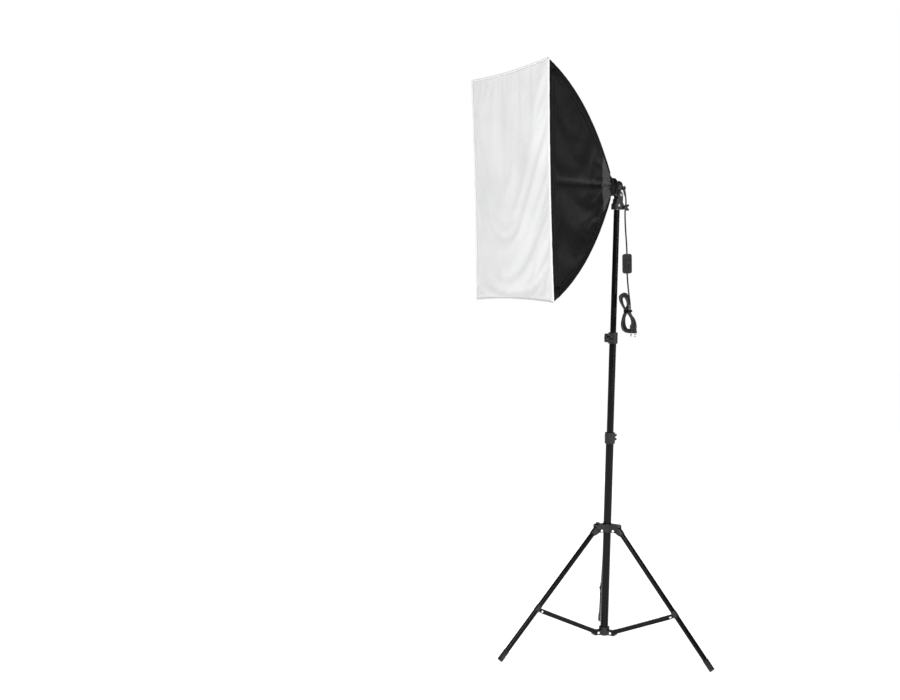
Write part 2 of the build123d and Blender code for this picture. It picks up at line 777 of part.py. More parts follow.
with BuildPart() as rear_cap:
    with BuildSketch(lamp_plane.offset(holder_split)):
        Circle(holder_rear_r)
    extrude(amount=holder_rear - holder_split)
    fillet(rear_cap.edges().filter_by(GeomType.CIRCLE).sort_by(Axis.Y)[-1], radius=rear_cap_round)
    with BuildSketch(gland_plane.offset(-outlet_boss_length)):
        Circle(outlet_boss_r)
    extrude(amount=outlet_boss_length)
    with BuildSketch(lamp_plane.offset(holder_split)):
        Circle(holder_rear_r - rear_cap_wall)
    extrude(amount=holder_rear - holder_split + holder_wall, mode=Mode.SUBTRACT)
rear_cap.part.label = "rear_cap"
export_step(rear_cap.part, "parts/rear_cap.step")

with BuildPart() as cord_gland:
    with BuildSketch(gland_plane):
        Circle(gland_root_r)
    with BuildSketch(gland_plane.offset(gland_length)):
        Circle(gland_tip_r)
    loft()
    for ring in range(1, gland_rings + 1):
        with BuildSketch(gland_plane.offset(gland_length * ring / (gland_rings + 1))):
            Circle(gland_root_r)
            Circle(cord_r + 0.4, mode=Mode.SUBTRACT)
        extrude(amount=gland_ring_width, mode=Mode.SUBTRACT)
cord_gland.part.label = "cord_gland"
export_step(cord_gland.part, "parts/cord_gland.step")

with BuildPart() as lamp_holder:
    with BuildSketch(lamp_section):
        with BuildLine():
            Polyline(
                (holder_split, 0),
                (holder_split, holder_rear_r),
                (holder_step - 2, holder_rear_r),
                (holder_step, holder_front_r),
                (holder_front, holder_front_r),
                (holder_front, holder_front_r - holder_wall),
                (socket_floor - holder_wall, holder_front_r - holder_wall),
                (socket_floor - holder_wall, 0),
                close=True,
            )
        make_face()
    revolve(axis=lamp_axis)
lamp_holder.part.label = "lamp_holder"
export_step(lamp_holder.part, "parts/lamp_holder.step")

with BuildPart() as socket_insulator:
    with BuildSketch(lamp_section):
        with BuildLine():
            Polyline(
                (socket_floor - holder_wall, 0),
                (socket_floor - holder_wall, holder_front_r - holder_wall),
                (holder_front - 1, holder_front_r - holder_wall),
                (holder_front - 1, socket_bore_r),
                (socket_floor + 4, socket_bore_r),
                (socket_floor + 4, 0),
                close=True,
            )
        make_face()
    revolve(axis=lamp_axis)
socket_insulator.part.label = "socket_insulator"
export_step(socket_insulator.part, "parts/socket_insulator.step")

with BuildPart() as socket_shell:
    with BuildSketch(lamp_section):
        with BuildLine():
            Polyline(
                (socket_floor + 5, lamp_cap_r + 0.2),
                (socket_floor + 5, socket_bore_r),
                (socket_floor + 27, socket_bore_r),
                (socket_floor + 27, lamp_cap_r + 0.2),
                close=True,
            )
        make_face()
    revolve(axis=lamp_axis)
socket_shell.part.label = "socket_shell"
export_step(socket_shell.part, "parts/socket_shell.step")

with BuildPart() as lamp_cap:
    with BuildSketch(lamp_section):
        with BuildLine():
            Polyline(
                (socket_floor + 4.2, 0),
                (socket_floor + 4.2, 5),
                (socket_floor + 8, lamp_cap_r),
                (socket_floor + 30, lamp_cap_r),
                (socket_floor + 30, 0),
                close=True,
            )
        make_face()
    revolve(axis=lamp_axis)
lamp_cap.part.label = "lamp_cap"
export_step(lamp_cap.part, "parts/lamp_cap.step")

housing_start = socket_floor + 30
with BuildPart() as lamp_housing:
    with BuildSketch(lamp_section):
        with BuildLine():
            Polyline(
                (housing_start, 0),
                (housing_start, lamp_cap_r),
                (holder_front + 2, lamp_cap_r + 1),
                (holder_front + 14, lamp_housing_r - 2),
                (lamp_housing_end - 8, lamp_housing_r),
                (lamp_housing_end, lamp_housing_r - 1),
                (lamp_housing_end, 0),
                close=True,
            )
        make_face()
    revolve(axis=lamp_axis)
lamp_housing.part.label = "lamp_housing"
export_step(lamp_housing.part, "parts/lamp_housing.step")

with BuildPart() as lamp_tubes:
    bend_start = lamp_tube_end - lamp_tube_half_gap - lamp_tube_r
    for turn in range(4):
        heading = radians(90 * turn)
        middle_x = lamp_tube_pitch_r * cos(heading)
        middle_y = lamp_tube_pitch_r * sin(heading)
        step_x = -lamp_tube_half_gap * sin(heading)
        step_y = lamp_tube_half_gap * cos(heading)
        with BuildLine(lamp_plane) as bent:
            Polyline(
                (middle_x - step_x, middle_y - step_y, lamp_housing_end),
                (middle_x - step_x, middle_y - step_y, bend_start),
            )
            ThreePointArc(
                (middle_x - step_x, middle_y - step_y, bend_start),
                (middle_x, middle_y, bend_start + lamp_tube_half_gap),
                (middle_x + step_x, middle_y + step_y, bend_start),
            )
            Polyline(
                (middle_x + step_x, middle_y + step_y, bend_start),
                (middle_x + step_x, middle_y + step_y, lamp_housing_end),
            )
        with BuildSketch(lamp_plane.offset(lamp_housing_end)):
            with Locations((middle_x - step_x, middle_y - step_y)):
                Circle(lamp_tube_r)
        sweep(path=bent.wires()[0])
lamp_tubes.part.label = "lamp_tubes"
export_step(lamp_tubes.part, "parts/lamp_tubes.step")

with BuildPart() as tilt_bracket:
    bracket_top = lamp_rise - 4
    with BuildSketch(Plane(origin=head_plane.origin, x_dir=forward, z_dir=(-1, 0, 0))):
        Circle(tilt_lug_r)
        with BuildLine():
            Polyline(
                (-tilt_lug_r, 0),
                (tilt_lug_r, 0),
                (holder_step - 4, lamp_rise - holder_rear_r),
                (holder_step - 4, bracket_top),
                (-4, bracket_top),
                (-tilt_lug_r, lamp_rise - holder_rear_r),
                close=True,
            )
        make_face()
    extrude(amount=tilt_lug_half_width, both=True)
    with BuildSketch(lamp_plane.offset(1)):
        with BuildLine():
            Line((-holder_rear_r - 3, 0), (holder_rear_r + 3, 0))
            ThreePointArc(
                (holder_rear_r + 3, 0),
                (0, -holder_rear_r - 1),
                (-holder_rear_r - 3, 0),
            )
        make_face()
    extrude(amount=holder_step - 5)
    with BuildSketch(lamp_plane.offset(-30)):
        Circle(holder_rear_r + 0.05)
    extrude(amount=60, mode=Mode.SUBTRACT)
    with BuildSketch(tilt_bolt_plane):
        Circle(tilt_bolt_r + screw_fit)
    extrude(amount=30, both=True, mode=Mode.SUBTRACT)
tilt_bracket.part.label = "tilt_bracket"
export_step(tilt_bracket.part, "parts/tilt_bracket.step")

# ------------------------------------------------------------------ rods and their hub
diagonal_angle = degrees(atan2(face_height, face_width))
rod_angles = (diagonal_angle, 180 - diagonal_angle, 180 + diagonal_angle, -diagonal_angle)


def diagonal_plane(angle):
    """Plane through the lamp's axis and one corner: x is outward, y is forward."""
    outward = lamp_plane.x_dir * cos(radians(angle)) + lamp_plane.y_dir * sin(radians(angle))
    return Plane(origin=lamp_origin, x_dir=outward, z_dir=outward.cross(forward))


rod_middle = (rod_start + face_depth) / 2
rod_end = face_depth - rod_tip_gap
rod_points = (
    (half_diagonal(rod_start) - rod_start_inset, rod_start),
    (half_diagonal(rod_middle) - rod_middle_inset, rod_middle),
    (half_diagonal(rod_end) - rod_front_inset, rod_end),
)
rod_arc = Edge.make_three_point_arc(*(Vector(*point) for point in rod_points))
rod_way = rod_arc.tangent_at(0)

with BuildPart() as spring_rods:
    for angle in rod_angles:
        with BuildLine(diagonal_plane(angle)) as bowed:
            ThreePointArc(*rod_points)
        with BuildSketch(Plane(origin=bowed.edges()[0] @ 0, z_dir=bowed.edges()[0] % 0)):
            Circle(rod_r)
        sweep(path=bowed.wires()[0])
spring_rods.part.label = "spring_rods"
export_step(spring_rods.part, "parts/spring_rods.step")


def rod_mouth(angle, distance):
    """Plane square to a rod, at a distance along it from the rod's rear end."""
    section = diagonal_plane(angle)
    start = section.from_local_coords((*rod_points[0], 0))
    ahead = section.from_local_coords((rod_points[0][0] + rod_way.X, rod_points[0][1] + rod_way.Y, 0))
    return Plane(origin=start, z_dir=ahead - start).offset(distance)


with BuildPart() as rod_hub:
    for angle in rod_angles:
        with BuildSketch(rod_mouth(angle, -4)):
            Circle(rod_socket_r)
        extrude(amount=rod_socket_length)
    for angle in rod_angles:
        with BuildSketch(rod_mouth(angle, 0)):
            Circle(rod_r + 0.3)
        extrude(amount=rod_socket_length, mode=Mode.SUBTRACT)
    with BuildSketch(lamp_plane.offset(rod_hub_start)):
        Circle(rod_hub_r)
    extrude(amount=rod_hub_end - rod_hub_start)
    with BuildSketch(lamp_plane):
        Circle(holder_front_r + 0.1)
    extrude(amount=2 * rod_hub_end, mode=Mode.SUBTRACT)
rod_hub.part.label = "rod_hub"
export_step(rod_hub.part, "parts/rod_hub.step")

# ------------------------------------------------------------------ softbox fabric
lip_start = face_depth - lip_depth
with BuildPart() as fabric_shell:
    loft(box_sections(panel_rear, lip_start - body_gap))
    loft(box_sections(panel_rear, lip_start - body_gap, fabric), mode=Mode.SUBTRACT)

panel_names = {"panel_right": 0, "panel_top": 1, "panel_left": 2, "panel_bottom": 3}
for name, quarter in panel_names.items():
    corners = (rod_angles[(quarter + 3) % 4], rod_angles[quarter])
    reach = face_width + face_height
    middle_angle = 90 * quarter
    with BuildPart() as panel:
        add(fabric_shell.part)
        shift = panel_gap / 2
        tip = (shift * cos(radians(middle_angle)) * 1.5, shift * sin(radians(middle_angle)) * 1.5)
        with BuildSketch(lamp_plane):
            with BuildLine():
                Polyline(
                    tip,
                    (tip[0] + reach * cos(radians(corners[0])), tip[1] + reach * sin(radians(corners[0]))),
                    (tip[0] + reach * cos(radians(corners[1])), tip[1] + reach * sin(radians(corners[1]))),
                    close=True,
                )
            make_face()
        extrude(amount=face_depth + 20, mode=Mode.INTERSECT)
    panel.part.label = name
    export_step(panel.part, f"parts/{name}.step")

with BuildPart() as front_lip:
    loft([box_section(lip_start), box_section(face_depth - diffuser_thickness - body_gap)])
    loft(
        [box_section(lip_start, fabric), box_section(face_depth - diffuser_thickness - body_gap, fabric)],
        mode=Mode.SUBTRACT,
    )
front_lip.part.label = "front_lip"
export_step(front_lip.part, "parts/front_lip.step")

with BuildPart() as diffuser:
    with BuildSketch(lamp_plane.offset(face_depth - diffuser_thickness)) as cloth:
        Rectangle(face_width, face_height)
        fillet(cloth.vertices(), radius=4)
    extrude(amount=diffuser_thickness)
diffuser.part.label = "diffuser"
export_step(diffuser.part, "parts/diffuser.step")

with BuildPart() as neck_sleeve:
    with BuildSketch(lamp_plane.offset(neck_start)):
        Circle(neck_r)
        Circle(neck_r - fabric, mode=Mode.SUBTRACT)
    extrude(amount=panel_rear - body_gap - neck_start)
neck_sleeve.part.label = "neck_sleeve"
export_step(neck_sleeve.part, "parts/neck_sleeve.step")


# ------------------------------------------------------------------ mains lead
def make_cord(label, routes):
    """Round tubes along straight runs joined by tangent arcs, as large as the runs allow."""
    with BuildPart() as cord:
        for route in routes:
            points = [Vector(*point) for point in route]
            runs = [after - before for before, after in zip(points, points[1:])]
            radii = []
            for before, after in zip(runs, runs[1:]):
                turn = radians(before.get_angle(after))
                radii.append(0.45 * min(before.length, after.length) / tan(turn / 2))
            with BuildLine() as path:
                FilletPolyline(*points, radius=radii)
            with BuildSketch(Plane(origin=points[0], z_dir=runs[0])):
                Circle(cord_r)
            before_volume = cord.part.volume if cord.part else 0
            sweep(path=path.wires()[0])
            length = path.wires()[0].length
            ratio = (cord.part.volume - before_volume) / (pi * cord_r**2 * length)
            print(label, "radii", [round(radius) for radius in radii], f"length {length:.0f} volume ratio {ratio:.4f}")
    cord.part.label = label
    export_step(cord.part, f"parts/{label}.step")


make_cord("cord_upper", (upper_route,))
make_cord("cord_lower", (lower_route, tail_route))

switch_way = Vector(*switch_bottom) - Vector(*switch_top)
switch_middle = (Vector(*switch_top) + Vector(*switch_bottom)) * 0.5
switch_front = Vector(*hank_face) - switch_way * (Vector(*hank_face).dot(switch_way) / switch_way.dot(switch_way))
switch_plane = Plane(origin=switch_middle, x_dir=switch_way, z_dir=switch_front)
with BuildPart() as inline_switch:
    with BuildSketch(switch_plane) as switch_outline:
        Rectangle(switch_way.length, switch_width)
        fillet(switch_outline.vertices(), radius=7)
    extrude(amount=switch_thickness / 2, both=True)
    with BuildSketch(switch_plane.offset(switch_thickness / 2 - rocker_rise)):
        Rectangle(rocker_length + 2 * body_gap, rocker_width + 2 * body_gap)
    extrude(amount=2 * rocker_rise, mode=Mode.SUBTRACT)
inline_switch.part.label = "inline_switch"
export_step(inline_switch.part, "parts/inline_switch.step")

rocker_section = Plane(origin=switch_middle, x_dir=switch_plane.x_dir, z_dir=-switch_plane.y_dir)
with BuildPart() as switch_rocker:
    floor = switch_thickness / 2 - rocker_rise + body_gap
    with BuildSketch(rocker_section):
        with BuildLine():
            Polyline(
                (-rocker_length / 2, floor + 1.2),
                (0, floor),
                (rocker_length / 2, floor + 1.2),
                (rocker_length / 2, floor + rocker_rise + 1.6),
                (0, floor + rocker_rise + 0.4),
                (-rocker_length / 2, floor + rocker_rise + 1.6),
                close=True,
            )
        make_face()
    extrude(amount=rocker_width / 2, both=True)
switch_rocker.part.label = "switch_rocker"
export_step(switch_rocker.part, "parts/switch_rocker.step")

hank_plane = Plane(origin=hank_waist, x_dir=hank_side, z_dir=hank_face)
with BuildPart() as cord_hank:
    with BuildSketch(hank_plane):
        for across, up, half_width, half_height, lean in (upper_lobe, lower_lobe):
            with Locations((across, up)):
                Ellipse(half_width, half_height, rotation=lean)
        Rectangle(2 * hank_waist_half, 16)
    extrude(amount=hank_half_thickness, both=True)
cord_hank.part.label = "cord_hank"
export_step(cord_hank.part, "parts/cord_hank.step")

tie_plane = Plane(origin=hank_waist, x_dir=hank_side, z_dir=(0, 0, 1))
with BuildPart() as cord_tie:
    with BuildSketch(tie_plane.offset(-tie_height / 2)):
        Rectangle(2 * (hank_waist_half + tie_wall), 2 * (hank_half_thickness + tie_wall))
        Rectangle(2 * hank_waist_half, 2 * hank_half_thickness, mode=Mode.SUBTRACT)
    extrude(amount=tie_height)
cord_tie.part.label = "cord_tie"
export_step(cord_tie.part, "parts/cord_tie.step")

plug_plane = Plane(origin=plug_top, x_dir=hank_side, z_dir=(0, 0, -1))
with BuildPart() as mains_plug:
    with BuildSketch(plug_plane):
        RectangleRounded(plug_width * 0.55, plug_thickness * 0.8, 3)
    with BuildSketch(plug_plane.offset(plug_length * 0.45)):
        RectangleRounded(plug_width, plug_thickness, 4)
    with BuildSketch(plug_plane.offset(plug_length)):
        RectangleRounded(plug_width, plug_thickness, 4)
    loft(ruled=True)
    for side in (-1, 1):
        with BuildSketch(plug_plane.offset(plug_length)):
            with Locations((side * plug_pin_pitch / 2, 0)):
                Circle(plug_pin_r)
        extrude(amount=plug_pin_length)
mains_plug.part.label = "mains_plug"
export_step(mains_plug.part, "parts/mains_plug.step")
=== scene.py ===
import json
import random
from math import cos, exp, hypot, pi, radians, sin

import bpy
import numpy as np
from mathutils import Matrix, Vector, noise


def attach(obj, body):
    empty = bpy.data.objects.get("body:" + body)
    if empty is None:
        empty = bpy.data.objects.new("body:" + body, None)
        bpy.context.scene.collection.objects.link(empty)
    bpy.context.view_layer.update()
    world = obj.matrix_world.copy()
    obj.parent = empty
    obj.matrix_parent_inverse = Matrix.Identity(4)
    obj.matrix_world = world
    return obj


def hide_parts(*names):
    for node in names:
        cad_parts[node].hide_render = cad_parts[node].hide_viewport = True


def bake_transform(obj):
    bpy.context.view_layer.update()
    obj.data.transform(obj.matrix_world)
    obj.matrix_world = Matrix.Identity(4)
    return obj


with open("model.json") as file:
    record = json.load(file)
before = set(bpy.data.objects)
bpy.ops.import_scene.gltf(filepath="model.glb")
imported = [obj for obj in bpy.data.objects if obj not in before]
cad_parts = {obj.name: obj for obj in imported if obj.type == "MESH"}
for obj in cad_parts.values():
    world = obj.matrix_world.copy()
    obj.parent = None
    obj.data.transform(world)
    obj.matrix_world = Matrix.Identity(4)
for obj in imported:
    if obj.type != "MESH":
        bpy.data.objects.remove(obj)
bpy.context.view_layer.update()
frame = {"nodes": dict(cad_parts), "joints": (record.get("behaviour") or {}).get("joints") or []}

# Studio softbox on a folding stand, in metres. +Z is up and the softbox faces -Y.
Z = Vector((0, 0, 1))
# The level direction across the picture; the camera looks at right angles to it.
VIEW_X, VIEW_Y = 0.4226, 0.9063
CAMERA_PLACE = (3.579, -2.241, 1.157)
CAMERA_PITCH, CAMERA_ROLL = radians(2.73), radians(1.39)


# ---------- camera
def add_camera():
    """Camera at the photograph's viewing angle: far round to the softbox's right, at chest height."""
    pitch, roll = CAMERA_PITCH, CAMERA_ROLL
    forward = Vector((-VIEW_Y * cos(pitch), VIEW_X * cos(pitch), -sin(pitch)))
    level = Vector((VIEW_X, VIEW_Y, 0))
    right = level * cos(roll) + level.cross(forward) * sin(roll)
    up = right.cross(forward)
    lens = bpy.data.cameras.new("camera")
    lens.sensor_width = 36
    lens.lens = 52.59
    lens.clip_end = 60
    camera = bpy.data.objects.new("camera", lens)
    bpy.context.scene.collection.objects.link(camera)
    turned = Matrix((right, up, -forward)).transposed().to_4x4()
    camera.matrix_world = Matrix.Translation(CAMERA_PLACE) @ turned
    bpy.context.scene.camera = camera


add_camera()


# ---------- mesh helpers
def add_piece(name, points, faces, uvs=None, smooth=True):
    """New mesh object; uvs holds one pair for each point."""
    mesh = bpy.data.meshes.new(name)
    mesh.from_pydata([tuple(point) for point in points], [], faces)
    if uvs is not None:
        layer = mesh.uv_layers.new(name="metres")
        for loop in mesh.loops:
            layer.data[loop.index].uv = uvs[loop.vertex_index]
    mesh.polygons.foreach_set("use_smooth", [smooth] * len(mesh.polygons))
    mesh.validate()
    mesh.update()
    piece = bpy.data.objects.new(name, mesh)
    bpy.context.scene.collection.objects.link(piece)
    return piece


def grid_faces(rows, columns, close_rows=False, close_columns=False, flip=False):
    """Quads of a grid whose points are numbered row by row."""
    faces = []
    for i in range(rows - (0 if close_rows else 1)):
        for j in range(columns - (0 if close_columns else 1)):
            down, across = (i + 1) % rows, (j + 1) % columns
            faces.append((i * columns + j, i * columns + across, down * columns + across, down * columns + j))
    return [face[::-1] for face in faces] if flip else faces


def end_caps(rows, sides):
    """Faces that close the two ends of a tube's grid."""
    return [tuple(reversed(range(sides))), tuple(range((rows - 1) * sides, rows * sides))]


def circle(count):
    """Cosine and sine at equal turns."""
    return [(cos(2 * pi * k / count), sin(2 * pi * k / count)) for k in range(count)]


def uneven(x, y, z):
    """Smooth noise, about -1 to 1."""
    return noise.noise(Vector((x, y, z)))


def tube_parts(line, radius, sides, closed=False):
    """Points and faces of a tube along a line; radius may hold one value for each point."""
    line = [Vector(point) for point in line]
    count = len(line)
    radii = radius if isinstance(radius, (list, tuple)) else [radius] * count
    points = []
    normal = None
    for i in range(count):
        before = line[(i - 1) % count] if closed else line[max(i - 1, 0)]
        after = line[(i + 1) % count] if closed else line[min(i + 1, count - 1)]
        way = (after - before).normalized()
        if normal is None:
            normal = way.orthogonal()
        normal = (normal - way * normal.dot(way)).normalized()
        side = way.cross(normal)
        for x, y in circle(sides):
            points.append(line[i] + (normal * x + side * y) * radii[i])
    faces = grid_faces(count, sides, close_rows=closed, close_columns=True)
    return points, faces if closed else faces + end_caps(count, sides)


def add_tube(name, line, radius, sides, closed=False):
    return add_piece(name, *tube_parts(line, radius, sides, closed))


def join_parts(name, parts, smooth=True):
    """One piece from several (points, faces) pairs."""
    points, faces = [], []
    for more_points, more_faces in parts:
        start = len(points)
        points += more_points
        faces += [tuple(start + index for index in face) for face in more_faces]
    return add_piece(name, points, faces, smooth=smooth)


def turned_parts(centre, axis, profile, sides=20):
    """Solid of revolution: profile holds (distance along the axis, radius) pairs."""
    axis = Vector(axis).normalized()
    first = axis.orthogonal().normalized()
    second = axis.cross(first)
    points = []
    for distance, radius in profile:
        for x, y in circle(sides):
            points.append(Vector(centre) + axis * distance + (first * x + second * y) * radius)
    return points, grid_faces(len(profile), sides, close_columns=True) + end_caps(len(profile), sides)


def thicken(piece, thickness, material, inner_material=None):
    """Gives a sheet its material and two faces; the inner one may have its own material."""
    piece.data.materials.append(material)
    solid = piece.modifiers.new("thickness", "SOLIDIFY")
    solid.thickness = thickness
    solid.offset = -1.0
    solid.use_even_offset = True
    if inner_material:
        piece.data.materials.append(inner_material)
        solid.material_offset = 1


def smooth_once(piece):
    smooth = piece.modifiers.new("smooth", "SUBSURF")
    smooth.levels = 1
    smooth.render_levels = 1


def simulate(piece, pinned, growth, bending, frames=12):
    """Lets a sheet settle as cloth that is a little larger than the edges it is pinned to."""
    scene = bpy.context.scene
    pins = piece.vertex_groups.new(name="pins")
    pins.add(pinned, 1.0, "REPLACE")
    cloth = piece.modifiers.new("cloth", "CLOTH")
    settings = cloth.settings
    settings.vertex_group_mass = "pins"
    settings.quality = 8
    settings.mass = 0.1
    settings.tension_stiffness = 40
    settings.compression_stiffness = 40
    settings.shear_stiffness = 12
    settings.bending_stiffness = bending
    settings.shrink_min = -growth
    settings.effector_weights.gravity = 0.35
    cloth.point_cache.frame_start = 1
    cloth.point_cache.frame_end = frames
    for step in range(1, frames + 1):
        scene.frame_set(step)
    settled = bpy.data.meshes.new_from_object(piece.evaluated_get(bpy.context.evaluated_depsgraph_get()))
    piece.modifiers.remove(cloth)
    piece.vertex_groups.clear()
    piece.data = settled
    scene.frame_set(1)


# ---------- material helpers
def node(tree, kind, inputs=None, **properties):
    """New shader node; an input is either a value or another node's output."""
    made = tree.nodes.new("ShaderNode" + kind)
    for key, value in properties.items():
        setattr(made, key, value)
    for key, value in (inputs or {}).items():
        if isinstance(value, bpy.types.NodeSocket):
            tree.links.new(value, made.inputs[key])
        else:
            made.inputs[key].default_value = value
    return made


def place_of(tree, source="Object", stretch=(1, 1, 1)):
    """Coordinates in metres: Object follows the frame, UV follows a piece's own cloth."""
    coordinates = node(tree, "TexCoord")
    return node(tree, "Mapping", {"Vector": coordinates.outputs[source], "Scale": stretch}).outputs["Vector"]


def grain(tree, scale, detail=2.0, **options):
    """Noise from 0 to 1, where scale is blotches per metre."""
    inputs = {"Vector": place_of(tree, **options), "Scale": scale, "Detail": detail}
    return node(tree, "TexNoise", inputs).outputs["Fac"]


def stripes(tree, scale, along="X", **options):
    """Sine waves across one direction."""
    inputs = {"Vector": place_of(tree, **options), "Scale": scale, "Distortion": 0.3, "Detail": 1.0}
    return node(tree, "TexWave", inputs, bands_direction=along).outputs["Fac"]


def ramp(tree, factor, *stops):
    """Colour from a factor; a stop is (position, grey or colour)."""
    made = node(tree, "ValToRGB", {"Fac": factor})
    elements = made.color_ramp.elements
    while len(elements) < len(stops):
        elements.new(1.0)
    for element, (position, color) in zip(elements, stops):
        element.position = position
        element.color = (*color, 1) if isinstance(color, (list, tuple)) else (color, color, color, 1)
    return made.outputs["Color"]


def blotches(tree, scale, detail, *stops, **options):
    """Noise that goes through a ramp."""
    return ramp(tree, grain(tree, scale, detail, **options), *stops)


def combine(tree, first, second, operation="MULTIPLY"):
    return node(tree, "Math", {0: first, 1: second}, operation=operation).outputs["Value"]


def blend_colors(tree, factor, first, second, mode="MIX"):
    mixed = node(tree, "Mix", {"Factor": factor}, data_type="RGBA", blend_type=mode)
    for socket, value in ((mixed.inputs[6], first), (mixed.inputs[7], second)):
        if isinstance(value, bpy.types.NodeSocket):
            tree.links.new(value, socket)
        else:
            socket.default_value = (*value, 1)
    return mixed.outputs[2]


def edge_wear(tree, radius):
    """Bright where the surface turns a corner: the angle between the true and a rounded normal."""
    rounded = node(tree, "Bevel", {"Radius": radius}, samples=4).outputs["Normal"]
    true = node(tree, "NewGeometry").outputs["Normal"]
    product = node(tree, "VectorMath", {0: rounded, 1: true}, operation="DOT_PRODUCT").outputs["Value"]
    return ramp(tree, product, (0.80, 1.0), (0.985, 0.0))


def new_material(name, **sockets):
    """Material with a Principled shader whose uniform values sit on its own sockets."""
    material = bpy.data.materials.new(name)
    material.use_nodes = True
    for key, value in sockets.items():
        material.node_tree.nodes["Principled BSDF"].inputs[key.replace("_", " ")].default_value = value
    return material, material.node_tree


def complete(material, color, roughness, *layers):
    """Links what varies over the surface; a bump layer is (height, depth in metres)."""
    tree = material.node_tree
    normal = None
    for height, depth in layers:
        made = node(tree, "Bump", {"Height": height, "Distance": depth, "Strength": 1.0})
        if normal is not None:
            tree.links.new(normal, made.inputs["Normal"])
        normal = made.outputs["Normal"]
    for socket, value in (("Base Color", color), ("Roughness", roughness), ("Normal", normal)):
        tree.links.new(value, tree.nodes["Principled BSDF"].inputs[socket])
    return material


# ---------- materials
def make_paint():
    """Black powder coat: fine orange peel, dull patches, sliding marks along the tubes."""
    material, tree = new_material("powder_coat", Coat_Weight=0.10, Coat_Roughness=0.08, Specular_IOR_Level=0.12)
    rubs = blotches(tree, 420, 3.0, (0.66, 0.0), (0.80, 1.0), stretch=(1, 1, 0.012))
    specks = blotches(tree, 1300, 2.0, (0.70, 0.0), (0.80, 1.0))
    base = blotches(tree, 14, 4.0, (0.3, 0.0022), (0.7, 0.0045))
    marked = blend_colors(tree, combine(tree, rubs, 0.15), base, (0.05, 0.05, 0.052))
    color = blend_colors(tree, combine(tree, specks, 0.04), marked, (0.05, 0.05, 0.05))
    return complete(
        material, color, blotches(tree, 60, 5.0, (0.25, 0.18), (0.75, 0.28)),
        (grain(tree, 620), 0.00002), (specks, 0.00001))


def make_moulded(name, tone, gloss, grain_scale):
    """Satin black moulding: fine grain, faint flow clouds, paler rubbed corners."""
    material, tree = new_material(name, Specular_IOR_Level=0.5)
    worn = combine(tree, edge_wear(tree, 0.0009), blotches(tree, 260, 4.0, (0.42, 0.0), (0.62, 0.8)))
    base = blotches(tree, 35, 4.0, (0.3, tone * 0.75), (0.7, tone * 1.3))
    return complete(
        material, blend_colors(tree, worn, base, (0.07, 0.07, 0.07)),
        blotches(tree, 90, 4.0, (0.3, gloss), (0.7, gloss + 0.16)),
        (grain(tree, grain_scale), 0.00005), (grain(tree, 150), 0.00008))


def make_rubber():
    """Matte black rubber with floor dust on its lower part."""
    material, tree = new_material("foot_rubber", Specular_IOR_Level=0.3)
    height = node(tree, "SeparateXYZ", {0: place_of(tree)}).outputs["Z"]
    low = ramp(tree, combine(tree, height, 25.0), (0.0, 1.0), (0.9, 0.0))
    dusty = combine(tree, low, blotches(tree, 180, 5.0, (0.4, 0.0), (0.75, 0.7)))
    return complete(
        material, blend_colors(tree, dusty, (0.012, 0.012, 0.012), (0.11, 0.105, 0.095)),
        blotches(tree, 120, 3.0, (0.3, 0.55), (0.7, 0.78)),
        (grain(tree, 1100), 0.0001), (grain(tree, 200), 0.00012))


def make_metal(name, color, gloss, brush):
    """Plated or drawn metal: brushed lines, cloudy polish, a few darker spots."""
    material, tree = new_material(name, Metallic=1.0)
    lines = grain(tree, 900, stretch=brush)
    spots = blotches(tree, 500, 5.0, (0.62, 0.0), (0.74, 0.6))
    dark = tuple(part * 0.62 for part in color)
    bright = tuple(min(1.0, part * 1.08) for part in color)
    clouded = blend_colors(tree, grain(tree, 70, 3.0), color, bright)
    return complete(
        material, blend_colors(tree, spots, clouded, dark), ramp(tree, lines, (0.3, gloss), (0.7, gloss + 0.15)),
        (lines, 0.00003), (grain(tree, 240), 0.00004))


def weave_height(tree, pitch):
    """Plain weave from 0 to 1: warp and weft swap over a checker of the thread pitch."""
    threads = 0.5 / pitch
    warp, weft = (stripes(tree, threads * 0.318, along, source="UV") for along in "XY")
    swap = node(tree, "TexChecker", {"Vector": place_of(tree, source="UV"), "Scale": 1 / pitch}).outputs["Fac"]
    return blend_colors(tree, swap, warp, weft)


def make_nylon(name, dark, light, gloss):
    """Black coated nylon: plain weave, uneven threads, chalky rubbed streaks."""
    material, tree = new_material(name, Sheen_Weight=0.015, Sheen_Roughness=0.4, Specular_IOR_Level=0.20)
    weave = weave_height(tree, 0.0011)
    threads = grain(tree, 500, source="UV", stretch=(0.05, 1, 1))
    base = blotches(tree, 9, 5.0, (0.35, dark), (0.65, light))
    streaked = blend_colors(tree, combine(tree, threads, 0.30), base, (light * 1.9,) * 3)
    return complete(
        material, blend_colors(tree, 0.35, streaked, weave, "MULTIPLY"),
        blotches(tree, 40, 3.0, (0.3, gloss), (0.7, gloss + 0.14)),
        (weave, 0.00018), (grain(tree, 120, 3.0), 0.00025), (grain(tree, 22, 3.0), 0.0009))


def make_webbing():
    """Ribbed black tape of the rod pockets, tabs and tie."""
    material, tree = new_material("black_webbing", Sheen_Weight=0.02, Sheen_Roughness=0.5, Specular_IOR_Level=0.12)
    ribs = stripes(tree, 150, "X", source="UV")
    weft = stripes(tree, 90, "Y", source="UV")
    return complete(
        material, ramp(tree, blend_colors(tree, 0.5, ribs, weft), (0.2, 0.0015), (0.8, 0.0055)),
        blotches(tree, 300, 3.0, (0.3, 0.62), (0.7, 0.85)),
        (ribs, 0.0003), (weft, 0.0001), (grain(tree, 50, 3.0), 0.0005))


